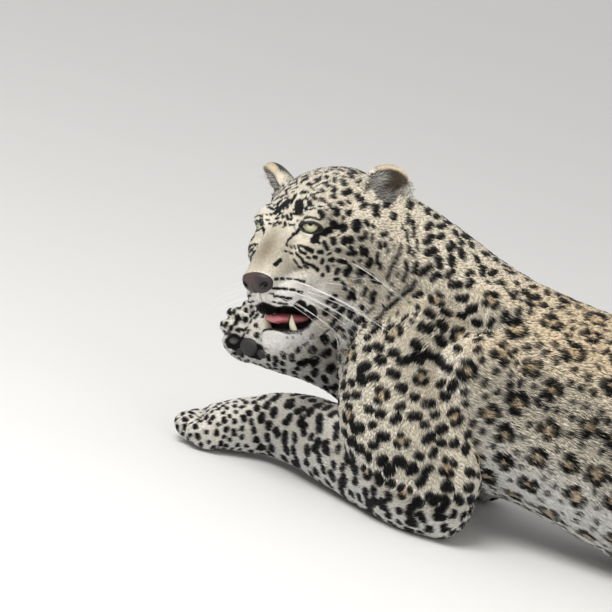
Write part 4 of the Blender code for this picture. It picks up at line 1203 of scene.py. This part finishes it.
def flatMap():
    # an unwrap of a light copy of the skin, which gives each tuft its place on the map
    light = linked("light", skin.data.copy())
    light.data.materials.clear()
    thin = light.modifiers.new("thin", "DECIMATE")
    thin.ratio = coatMake["mapTriangles"] / len(skinTriangles)
    applied(light)
    bpy.context.view_layer.objects.active = light
    light.select_set(True)
    bpy.ops.object.mode_set(mode="EDIT")
    bpy.ops.mesh.select_all(action="SELECT")
    bpy.ops.uv.smart_project(angle_limit=math.radians(66), island_margin=0.004)
    bpy.ops.object.mode_set(mode="OBJECT")
    triangles = trianglesOf(light.data)
    loops = np.empty(len(light.data.loop_triangles) * 3, np.int32)
    light.data.loop_triangles.foreach_get("loops", loops)
    flat = np.empty(len(light.data.loops) * 2, np.float32)
    light.data.uv_layers.active.data.foreach_get("uv", flat)
    flat = flat.reshape(-1, 2)[loops].reshape(-1, 3, 2)
    points = (pointsOf(light) - shift) / cm
    tree = BVHTree.FromPolygons(points.tolist(), triangles.tolist())
    dropped(light)
    return tree, points[triangles], flat


skinMap = flatMap()


def mapPlaces(roots):
    tree, corners, flat = skinMap
    hits = np.array([tree.find_nearest(Vector(p))[2] for p in roots])
    a, b, c = (corners[hits, k] for k in range(3))
    u, v, w = b - a, c - a, roots - a
    uu, uv, vv = (u * u).sum(1), (u * v).sum(1), (v * v).sum(1)
    wu, wv = (w * u).sum(1), (w * v).sum(1)
    det = np.maximum(uu * vv - uv * uv, 1e-12)
    s, t = np.clip((vv * wu - uv * wv) / det, 0, 1), np.clip((uu * wv - uv * wu) / det, 0, 1)
    f = flat[hits]
    return f[:, 0] + s[:, None] * (f[:, 1] - f[:, 0]) + t[:, None] * (f[:, 2] - f[:, 0])


def coatRoots():
    random = np.random.default_rng(coatMake["seed"])
    corners = skinPoints[skinTriangles]
    one, two = corners[:, 1] - corners[:, 0], corners[:, 2] - corners[:, 0]
    area = 0.5 * np.linalg.norm(np.cross(one, two), axis=1)
    density = coatSizes(skinShares, "density")[0][skinTriangles].mean(axis=1)
    middle = skinLocal[skinTriangles].mean(axis=1)
    bare = inMouth[skinTriangles].any(axis=1)
    for side in (-1, 1):
        canal = np.array(earSpot(side, earForm["canal"]))
        bare |= np.linalg.norm(middle - canal, axis=1) < 1.9
        bare |= np.linalg.norm(middle - np.array(signed(eye["centre"], side)), axis=1) < eye["radius"] + 0.1
    bare |= fromNosePad(middle) < 1.0
    under = corners[:, :, 2].max(axis=1) < floorHeight + 0.2
    density = density * np.where(under, 0.15, 1.0)
    weight = np.where(bare, 0, area * density)
    total = np.cumsum(weight)
    count = int(min(total[-1], coatMake["most"]))
    print("tufts wanted", int(total[-1]), "made", count)
    at = (np.arange(count) + random.random(count)) / count * total[-1]
    face = np.minimum(np.searchsorted(total, at), len(total) - 1)
    u, v = random.random(count), random.random(count)
    flip = u + v > 1
    u[flip], v[flip] = 1 - u[flip], 1 - v[flip]
    mix = np.stack([1 - u - v, u, v], axis=1)[:, :, None]
    tri = skinTriangles[face]
    roots = (skinPoints[tri] * mix).sum(axis=1)
    normals = unit((skinNormals[tri] * mix).sum(axis=1))
    lies = (skinLies[tri] * mix).sum(axis=1)
    shares = (skinShares[tri] * mix).sum(axis=1)
    return roots, normals, lies, shares, random


def growTufts():
    roots, normals, lies, shares, random = coatRoots()
    print("tufts to grow", len(roots))
    local = moved(roots, inHead)
    depth, length, width = coatSizes(shares, "depth", "length", "width")
    onHead = shareOf(shares, "head")
    # shortest on the nose and round the eyes
    more, back, up = coatMake["longer"], local[:, 0], local[:, 2]
    longer = 1 + onHead * (more["ruff"] * smoothStep(12, 19, back) - more["nose"] * smoothStep(9, 3, back))
    longer *= 1 + more["throat"] * onHead * smoothStep(-4, -9, up) * smoothStep(5, 12, back)
    longer *= 1 + more["chin"] * onHead * smoothStep(-7.6, -9.2, up) * smoothStep(8, 5, back)
    below = smoothStep(0.1, -0.5, normals[:, 2]) * smoothStep(10, 4, roots[:, 2])
    longer *= 1 + more["belly"] * below * shareOf(shares, "trunk")
    eyes = [np.array(signed(eye["centre"], side)) for side in (-1, 1)]
    eyeFar = np.minimum(*[np.linalg.norm(local - centre, axis=1) for centre in eyes])
    longer *= np.where(onHead > 0.5, 0.5 + 0.5 * smoothStep(1.8, 3.4, eyeFar), 1)
    count = len(roots)
    length = length * longer * random.uniform(0.75, 1.2, count)
    width = width * random.uniform(0.75, 1.2, count) * np.sqrt(longer)
    # neighbours lean together, each a little its own way
    sway = 0.10 * (np.sin(roots @ np.array((1.9, 1.3, 0.7))) + np.sin(roots @ np.array((-0.9, 2.3, 1.7)) + 1))
    sway = sway * np.where(onHead > 0.5, 0.4, 1) + random.normal(0, 0.11, count)
    lies = onSurface(lies, normals)
    sides = np.cross(lies, normals)
    lies = unit(lies * np.cos(sway)[:, None] + sides * np.sin(sway)[:, None])
    sides = np.cross(lies, normals)
    aim = roots + lies * length[:, None]
    tips, tipNormals = np.empty_like(aim), np.empty_like(aim)
    for i, p in enumerate(aim):
        tips[i], tipNormals[i] = skinTree.find_nearest(p)[:2]
    strayed = np.linalg.norm(tips - aim, axis=1) > 0.45 * length
    tips[strayed] = aim[strayed]
    tipNormals[strayed] = normals[strayed]
    tips += tipNormals * (depth * random.uniform(0.35, 1.0, count))[:, None]
    middles = (roots + tips) / 2 + normals * (depth * random.uniform(0.25, 0.5, count))[:, None]
    local = moved(tips, inHead)
    keep = np.ones(count, bool)
    wide, high = coatMake["lidClear"]  # no hair in the openings of the eyes
    for side in (-1, 1):
        turn = np.array(lidTurn(side).to_3x3())
        for q, size in ((local, 1.0), (moved(roots, inHead), 1.06)):
            e = (q - np.array(signed(eye["centre"], side))) @ turn
            keep &= ~((e[:, 0] < 0) & ((e[:, 1] / (wide * size)) ** 2 + (e[:, 2] / (high * size)) ** 2 < 1))
    keep &= fromNosePad(local) > 0.95
    for part in (roots, middles, tips):
        part[:, 2] = np.maximum(part[:, 2], floorHeight + 0.04)
    parts = (roots, middles, tips, normals, sides, length, width, shares)
    return [part[keep] for part in parts], random


def tuftMesh(name, roots, middles, tips, normals, sides, width, colours, places, long):
    # a closed sliver: two corners and a ridge at the root, or at the middle where it is long, and the tip
    half = (sides * width[:, None]) / 2
    sunk = roots - normals * 0.06
    lift = normals * (0.22 * width)[:, None]
    if long:
        foot = half * 0.6
        points = np.stack([sunk - foot, sunk + foot, middles - half, middles + half, middles + lift, tips], 1)
        faces = [(0, 2, 3), (0, 3, 1), (2, 5, 3), (0, 4, 2), (1, 3, 4), (0, 1, 4), (2, 4, 5), (4, 3, 5)]
        along = np.array((0.0, 0.0, 0.5, 0.5, 0.5, 1.0))
        beside = np.array((-0.5, 0.5, -0.5, 0.5, 0.0, 0.0))
        shade = np.array((0.84, 0.84, 0.97, 0.97, 1.0, 1.06))
        tints = colours[:, (0, 0, 1, 1, 1, 2)]
    else:
        points = np.stack([sunk - half, sunk + half, middles + lift, tips], 1)
        faces = [(0, 1, 2), (0, 2, 3), (2, 1, 3), (0, 3, 1)]
        along = np.array((0.0, 0.0, 0.5, 1.0))
        beside = np.array((-0.5, 0.5, 0.0, 0.0))
        shade = np.array((0.86, 0.86, 1.0, 1.06))
        tints = colours[:, (0, 0, 1, 2)]
    first = np.arange(len(roots))[:, None, None] * len(along)
    triangles = (first + np.array(faces)[None]).reshape(-1, 3)
    mesh = triangleMesh(name, toFrame(points.reshape(-1, 3)), triangles)
    # painted shade: each tuft is drawn darker at its root and a little lighter at its tip
    paint(mesh, np.clip(tints * shade[None, :, None], 0, 1).reshape(-1, 3))
    patch = coatMake["patch"]
    flat = places[:, None, :] + patch * np.stack([beside, along - 0.5], axis=1)[None]
    layer = mesh.uv_layers.new(name="OFBake")
    layer.data.foreach_set("uv", flat.reshape(-1, 2)[triangles.ravel()].astype(np.float32).ravel())
    return linked(name, mesh)


def makeCoat():
    (roots, middles, tips, normals, sides, length, width, shares), random = growTufts()
    colours = []
    for out in coatMake["tintsAt"]:  # the marks cross a tuft where it lies over them
        seen = roots + (tips - roots) * out
        dark, inner = darkness(seen, normals, strokes, rosettes)
        colours.append(coatColours(seen, normals, shares, smoothStep(0.3, 0.7, dark), inner))
    darker = np.where(shareOf(shares, "head") > 0.5, 0.80, 0.91)
    tone = darker + (1.07 - darker) * random.random(len(roots))
    colours = np.stack(colours, axis=1) * tone[:, None, None]
    places = mapPlaces(roots)
    owner = shares.argmax(axis=1)
    long = length > coatMake["long"]
    headSide = moved(roots, inHead)[:, 1]
    total = 0
    for k, region in enumerate(regionNames):
        for side, word in ((-1, "Left"), (1, "Right")):
            for far, kind in ((True, "Long"), (False, "Short")):
                aside = headSide if region == "head" else roots[:, 1]
                here = (owner == k) & (long == far) & ((aside < 0) == (side < 0))
                if here.sum() < coatMake["fewest"]:
                    continue
                name = "coat" + region[0].upper() + region[1:] + word + kind
                rows = [a[here] for a in (roots, middles, tips, normals, sides, width, colours, places)]
                made = shown(tuftMesh(name, *rows, far), furTuft)
                total += len(made.data.polygons)
                print(name, len(made.data.polygons))
    print("coat triangles", total)


makeCoat()


# Eyes
iris = {"pale": (206, 206, 172), "edge": (138, 138, 100), "ring": (16, 14, 12), "white": (60, 44, 34)}


def sightOn(side, x, y):
    # the direction from the middle of an eye to the place on it that a pixel shows
    centre = headMatrix @ signed(eye["centre"], side)
    way = (pixelPlace(x, y) - cameraPlace).normalized()
    off = centre - cameraPlace
    along = off.dot(way)
    drop = (off - way * along).length
    reach = eye["radius"]
    place = cameraPlace + way * (along - math.sqrt(max(reach * reach - drop * drop, 0)))
    return (place - centre).normalized()


def irisColour(angle, streak):
    # at this angle from the middle of the pupil
    shades = {name: linear(colour) for name, colour in iris.items()}
    out = float(smoothStep(eye["pupilAngle"] + 1, eye["irisAngle"], angle))
    colour = (shades["pale"] * (1 - out) + shades["edge"] * out) * (0.78 + 0.5 * streak)
    colour = colour * float(smoothStep(eye["pupilAngle"] - 0.7, eye["pupilAngle"] + 0.7, angle))
    ring = float(smoothStep(eye["irisAngle"] - 4, eye["irisAngle"] - 0.5, angle))
    colour = colour * (1 - ring) + shades["ring"] * ring
    far = float(smoothStep(eye["irisAngle"] + 3, eye["irisAngle"] + 8, angle))
    return colour * (1 - far) + shades["white"] * far


# which way each eye looks: side, and the pixel that its pupil shows at
eyeLooks = {"left": (-1, 310.6, 223.6), "right": (1, 260.6, 223.8)}


def makeEyes():
    ballSkin, tree, shader = newMaterial("eye ball", Roughness=0.3, Specular_IOR_Level=0.4)
    variedTint(tree, shader, noiseNode(tree, 900), 0.85, 1.12)
    clear, tree, shader = newMaterial("cornea", Roughness=0.03, Transmission_Weight=1.0, IOR=1.12)
    shader.inputs["Base Color"].default_value = (1, 1, 1, 1)
    addBump(tree, shader, noiseNode(tree, 60).outputs["Fac"], 0.02, 0.0002)
    for word, (side, x, y) in eyeLooks.items():
        look = sightOn(side, x, y)
        turn = look.to_track_quat("Z", "Y").to_matrix()
        centre = headMatrix @ signed(eye["centre"], side)
        rings = np.concatenate([np.linspace(0, 44, 34), np.linspace(47, 180, 22)])
        spokes = 72
        points, colours = [], []
        random = np.random.default_rng(5 + side)
        grain = np.tile(random.random(spokes), 3)
        streak = np.convolve(grain, (0.25, 0.5, 0.25), "same")[spokes : 2 * spokes]
        for angle in rings:
            t = math.radians(angle)
            sunk = 0.10 * float(smoothStep(eye["irisAngle"], eye["irisAngle"] - 9, angle))
            r = eye["radius"] - 0.05 - sunk
            for k in range(spokes):
                a = 2 * math.pi * k / spokes
                points.append((r * math.sin(t) * math.cos(a), r * math.sin(t) * math.sin(a), r * math.cos(t)))
                colours.append(irisColour(angle, streak[k]))
        triangles = []
        for i in range(len(rings) - 1):
            for k in range(spokes):
                a, b = i * spokes + k, i * spokes + (k + 1) % spokes
                triangles += [(a, a + spokes, b), (b, a + spokes, b + spokes)]
        points = np.array(points) @ np.array(turn).T + np.array(centre)
        made = linked("eyeball_" + word, triangleMesh("eyeball_" + word, toFrame(points), triangles))
        paint(made.data, np.array(colours))
        merged = bmesh.new()
        merged.from_mesh(made.data)
        bmesh.ops.remove_doubles(merged, verts=merged.verts, dist=1e-6)
        bmesh.ops.recalc_face_normals(merged, faces=merged.faces)
        merged.to_mesh(made.data)
        merged.free()
        shown(made, ballSkin, ["eye_" + word])
        bulge = ball((0, 0, 0), (eye["radius"],) * 3, fineness=5)
        for v in bulge.verts:
            t = math.degrees(math.acos(max(-1, min(1, v.co.z / v.co.length))))
            v.co *= 1 + 0.045 * float(smoothStep(eye["irisAngle"] + 6, 0, t))
        placed([bulge], Matrix.Translation(centre) @ turn.to_4x4())
        placed([bulge], frameMatrix)
        shown(objectFrom("cornea_" + word, [bulge]), clear)


makeEyes()
print("eyes made")


# Lids: a dark bare rim round each opening
lidRim = {"wide": 1.36, "high": 0.66, "thick": 0.15}


def tube(points, radii, sides=8, closed=False):
    points = np.asarray(points, float)
    if closed:
        ways = unit(np.roll(points, -1, axis=0) - np.roll(points, 1, axis=0))
    else:
        ways = unit(np.gradient(points, axis=0))
    first = np.cross(ways[0], (0.3, 0.5, 0.8))
    out = []
    for p, w, r in zip(points, ways, radii):
        first = first - w * (first @ w)
        first = first / np.linalg.norm(first)
        second = np.cross(w, first)
        for a in np.linspace(0, 2 * math.pi, sides, endpoint=False):
            out.append(p + r * (math.cos(a) * first + math.sin(a) * second))
    triangles = []
    rows = len(points)
    for i in range(rows if closed else rows - 1):
        j = (i + 1) % rows
        for k in range(sides):
            m = (k + 1) % sides
            a, b, c, d = i * sides + k, i * sides + m, j * sides + m, j * sides + k
            triangles += [(a, b, c), (a, c, d)]
    if not closed:
        for start, flip in ((0, 1), ((rows - 1) * sides, -1)):
            for k in range(1, sides - 1):
                triangles.append((start, start + k + 1, start + k)[::flip])
    return np.array(out), np.array(triangles)


def bent(start, bend, end, ts):
    # places along a line that leaves its start towards the bend
    return np.array(start) * (1 - ts) ** 2 + 2 * np.array(bend) * ts * (1 - ts) + np.array(end) * ts**2


def joined(name, tubes, material, nodes=()):
    points, triangles, at = [], [], 0
    for p, t in tubes:
        points.append(p)
        triangles.append(t + at)
        at += len(p)
    made = linked(name, triangleMesh(name, toFrame(np.vstack(points)), np.vstack(triangles)))
    return shown(made, material, nodes)


def darkSkin(name, colour, roughness, grain, bump):
    made, tree, shader = newMaterial(name, Roughness=roughness, Specular_IOR_Level=0.5)
    noise = noiseNode(tree, grain)
    rampTint(tree, shader, noise, np.array(colour) * 0.7, np.array(colour) * 1.35)
    addBump(tree, shader, noise.outputs["Fac"], 0.6, bump)
    return made


lidSkin = darkSkin("lid skin", (0.006, 0.005, 0.005), 0.35, 500, 0.0003)


def makeLids():
    for side, word in ((-1, "left"), (1, "right")):
        angles = np.linspace(0, 2 * math.pi, 56, endpoint=False)
        y = lidRim["wide"] * np.cos(angles)
        z = lidRim["high"] * np.sin(angles) * (1 - 0.22 * np.cos(angles) ** 2) + 0.04
        reach = eye["radius"] + 0.10
        x = -np.sqrt(reach**2 - y**2 - z**2)
        place = headMatrix @ Matrix.Translation(signed(eye["centre"], side)) @ lidTurn(side)
        radii = lidRim["thick"] * np.where(np.sin(angles) > 0, 1.25, 0.8)
        points = moved(np.stack([x, y, z], 1), place)
        joined("lid_" + word, [tube(points, radii, closed=True)], lidSkin)


makeLids()


# Nose, tongue, teeth
padSkin = darkSkin("pad leather", (0.020, 0.017, 0.016), 0.55, 900, 0.0004)
tongueSkin = darkSkin("tongue", (0.55, 0.17, 0.19), 0.35, 1100, 0.0003)
toothSkin = darkSkin("enamel", (0.66, 0.61, 0.45), 0.25, 60, 0.0001)


def makeNoseSkin():
    made, tree, shader = newMaterial("nose leather", Roughness=0.42)
    variedTint(tree, shader, noiseNode(tree, 700), 0.7, 1.3)
    addBump(tree, shader, noiseNode(tree, 1400, 4).outputs["Fac"], 0.6, 0.0004)
    return made


noseSkin = makeNoseSkin()


def makeNose():
    pad = fused(objectFrom("nosePad", headPieces()), 0.12, 44)
    cut(pad, [nosePad()], "INTERSECT")
    for side in (-1, 1):
        cut(pad, [ball(signed(nose["nostril"], side), (0.8, 0.42, 0.34), (25 * side, 0, 40 * side), 3)])
    soften = pad.modifiers.new("soften", "SMOOTH")
    soften.factor = 0.5
    soften.iterations = 3
    applied(pad)
    points = pointsOf(pad)
    groove = np.exp(-((points[:, 1] / 0.16) ** 2)) * smoothStep(-0.8, -1.3, points[:, 2])
    points += normalsOf(pad) * (0.05 - 0.14 * groove)[:, None]
    nostrils = [np.array(signed(nose["nostril"], side)) for side in (-1, 1)]
    inside = np.minimum(*[((points - centre) ** 2).sum(axis=1) for centre in nostrils])
    pale = smoothStep(1.6, 0.2, np.abs(points[:, 1] - 0.5)) * smoothStep(-2.4, -1.2, points[:, 2])
    colours = np.array((0.022, 0.014, 0.013)) + pale[:, None] * np.array((0.036, 0.020, 0.018))
    # painted shade: the nostrils are drawn near black, the shadow inside them
    colours *= (1 - 0.96 * smoothStep(0.42, 0.22, inside))[:, None]
    paint(pad.data, colours)
    setPoints(pad, toFrame(moved(points, headMatrix)))
    shown(pad, noseSkin, ["nose"])


def makeMouth():
    stations = [(7.4, 0, -7.5, 1.8, 0.6), (6.0, 0, -7.1, 1.8, 0.65), (4.4, 0, -6.6, 1.6, 0.6),
                (3.1, 0, -6.2, 1.25, 0.45)]
    flesh = loft(stations, segments=40, steps=8)
    for v in flesh.verts:
        v.co.z -= 0.16 * math.exp(-((v.co.y / 0.35) ** 2)) * (1 if v.co.z > -7 else 0)
    placed([flesh], headMatrix)
    placed([flesh], frameMatrix)
    shown(objectFrom("tongue_flesh", [flesh]), tongueSkin, ["tongue"])
    for side, word in ((-1, "left"), (1, "right")):
        tooth = loft([(4.4, 1.75 * side, -8.6, 0.42, 0.42), (3.95, 1.85 * side, -7.3, 0.38, 0.38),
                      (3.9, 1.9 * side, -6.6, 0.26, 0.26), (4.05, 1.9 * side, -6.05, 0.06, 0.06)],
                     segments=20, steps=6, up=(1, 0, 0))
        placed([tooth], headMatrix)
        placed([tooth], frameMatrix)
        shown(objectFrom("canine_" + word, [tooth]), toothSkin, ["lower_canine_" + word])


makeNose()
makeMouth()
print("nose and mouth made")


# Bare pads under the lifted far paw, on the side that the picture shows: pixel, and size in centimetres
pawPads = [(249, 347, 1.30), (234, 341, 0.62), (228, 333, 0.56), (262, 354, 0.70), (240, 352, 0.60)]


def makePawPads():
    pieces = []
    for x, y, size in pawPads:
        place, normal = onSkin(x, y)
        if place is None:
            continue
        turn = normal.to_track_quat("Z", "Y").to_matrix().to_4x4()
        pad = ball((0, 0, 0), (size, size * 0.85, size * 0.32), fineness=4)
        pieces += placed([pad], Matrix.Translation(place) @ turn)
    placed(pieces, frameMatrix)
    shown(objectFrom("paw_pads", pieces), padSkin)


makePawPads()
print("paw pads made")


# Long hair in the cups of the ears
earHair = {"seed": 3, "count": 700, "length": 2.2, "width": 0.05}


def makeEarHair():
    random = np.random.default_rng(earHair["seed"])
    count = earHair["count"]
    for side, word in ((-1, "Left"), (1, "Right")):
        turn = np.array(rotated(earTurn(side)).to_3x3())
        across = random.uniform(-1, 1, count)
        # roots low in the cup and along its front edge, the hair sweeping up and back across it
        low = random.random(count) < 0.5
        z = np.where(low, random.uniform(-2.2, 1.8, count), random.uniform(-2.4, -1.0, count))
        y = -side * (1.2 + 1.4 * np.abs(across)) * np.where(z > -1.0, 1, across * -side)
        reach = np.clip(1 - (y / 2.9) ** 2 - ((z - 0.15) / 3.3) ** 2, 0, 1)
        spots = np.stack([-1.2 + 2.2 * np.sqrt(reach), y, z], axis=1)
        keep = reach > 0.03
        way = unit(np.stack([random.uniform(-0.9, -0.2, count), side * random.uniform(0.1, 1.1, count),
                             random.uniform(0.3, 1.2, count)], axis=1))
        length = earHair["length"] * random.uniform(0.6, 1.25, count)
        ends = spots + way * length[:, None]
        middles = (spots + ends) / 2 + np.array((-0.18, 0, 0))
        centre = np.array(signed(earForm["centre"], side))
        spots, middles, ends = (moved(q @ turn.T + centre, headMatrix)[keep] for q in (spots, middles, ends))
        normals = np.tile(headTurn @ turn @ np.array((-1.0, 0, 0)), (len(spots), 1))
        sides = unit(np.cross(ends - spots, normals))
        tone = random.uniform(0.25, 1, len(spots))[:, None]
        colours = (screen("earInner") * (1 - tone) + screen("white") * tone * 0.8)[:, None].repeat(3, axis=1)
        width = np.full(len(spots), earHair["width"])
        places = mapPlaces(spots)
        hair = tuftMesh("earHair" + word, spots, middles, ends, normals, sides, width, colours, places, True)
        shown(hair, furTuft)


makeEarHair()
print("ear hair made")


# Whiskers: root and tip in pixels, and how far the tip stands out towards the eye
whiskers = {
    "thick": 0.026, "farReach": 0.6, "colours": ((0.78, 0.77, 0.74), (0.95, 0.95, 0.93)),
    "rows": [
        (289, 280, 372, 318, 4), (296, 281, 385, 330, 5), (302, 283, 393, 335, 5), (308, 288, 389, 329, 6),
        (285, 290, 352, 322, 4), (292, 291, 368, 334, 5), (300, 292, 381, 343, 6), (306, 291, 399, 338, 6),
        (282, 298, 343, 338, 4), (289, 299, 350, 347, 5), (300, 298, 361, 338, 5), (276, 297, 330, 336, 4),
        (350, 262, 404, 304, 3), (351, 263, 416, 312, 4), (351, 280, 388, 286, 2), (327, 284, 356, 294, 2),
    ],
}


def makeWhiskers():
    bristle, tree, shader = newMaterial("whisker", Roughness=0.35)
    rampTint(tree, shader, noiseNode(tree, 40), *whiskers["colours"])
    for side, word in ((-1, "left"), (1, "right")):
        tubes = []
        for x0, y0, x1, y1, out in whiskers["rows"][:: 1 if side < 0 else 2]:
            root, normal = onSkin(x0, y0)
            if root is None:
                continue
            far = (root - cameraPlace).length
            tip = cameraPlace + (pixelPlace(x1, y1) - cameraPlace).normalized() * (far - out)
            bend = (root + tip) / 2 + viewUp * 0.9 + viewBack * 1.0
            ts = np.linspace(0, 1 if side < 0 else whiskers["farReach"], 14)[:, None]
            line = bent(root, bend, tip, ts)
            if side > 0:
                line = moved(moved(line, inHead) * (1, -1, 1), headMatrix)
            tubes.append(tube(line, whiskers["thick"] * (1 - 0.8 * ts[:, 0] / ts[-1, 0]), 5))
        joined("whiskers_" + word, tubes, bristle)


makeWhiskers()
print("whiskers made")


# Thin hair that stands from the chin and the lower lip
chinHair = {"seed": 9, "count": 560, "length": 0.9, "thick": 0.012}


def makeChinHair():
    random = np.random.default_rng(chinHair["seed"])
    bristle = bpy.data.materials["whisker"]
    tubes = []
    for _ in range(chinHair["count"]):
        root, normal = onSkin(random.uniform(266, 312), random.uniform(330, 349))
        if root is None or (inHead @ root).x > 12:
            continue
        length = chinHair["length"] * random.uniform(0.5, 1.3)
        fall = np.array(normal) * 0.8 + np.array((random.normal(0, 0.2), random.normal(0, 0.2), -0.9))
        tip = np.array(root) + unit(fall) * length
        bend = np.array(root) + np.array(normal) * length * 0.5
        ts = np.linspace(0, 1, 5)[:, None]
        tubes.append(tube(bent(root, bend, tip, ts), chinHair["thick"] * (1 - 0.8 * ts[:, 0]), 4))
    joined("chin_hair", tubes, bristle)


makeChinHair()
print("chin hair made")


# Floor and light
studio = {
    "floor": (0.80, 0.79, 0.77), "sky": (0.80, 0.80, 0.80), "skyPower": 0.80,
    # place, size and power of each lamp
    "lamps": {"key": ((-1.2, -1.6, 2.6), 1.6, 75.0), "fill": ((1.8, -2.4, 1.4), 2.0, 18.0)},
}


def makeStudio():
    mesh = bmesh.new()
    bmesh.ops.create_grid(mesh, size=30)
    floor = objectFrom("floor", [mesh])
    made, tree, shader = newMaterial("floor", Roughness=0.7)
    rampTint(tree, shader, noiseNode(tree, 3), [c * 0.97 for c in studio["floor"]], studio["floor"])
    given(floor, made)
    world = bpy.data.worlds.new("studio")
    world.use_nodes = True
    world.node_tree.nodes["Background"].inputs["Color"].default_value = (*studio["sky"], 1)
    world.node_tree.nodes["Background"].inputs["Strength"].default_value = studio["skyPower"]
    bpy.context.scene.world = world
    for name, (place, size, power) in studio["lamps"].items():
        lamp = bpy.data.lights.new(name, "AREA")
        lamp.size, lamp.energy = size, power
        thing = bpy.data.objects.new(name, lamp)
        bpy.context.scene.collection.objects.link(thing)
        thing.location = place
        thing.rotation_euler = (Vector((-0.2, 0, 0.2)) - Vector(place)).to_track_quat("-Z", "Y").to_euler()
    bpy.context.scene.view_settings.view_transform = "Standard"


makeStudio()
print("floor and light set")
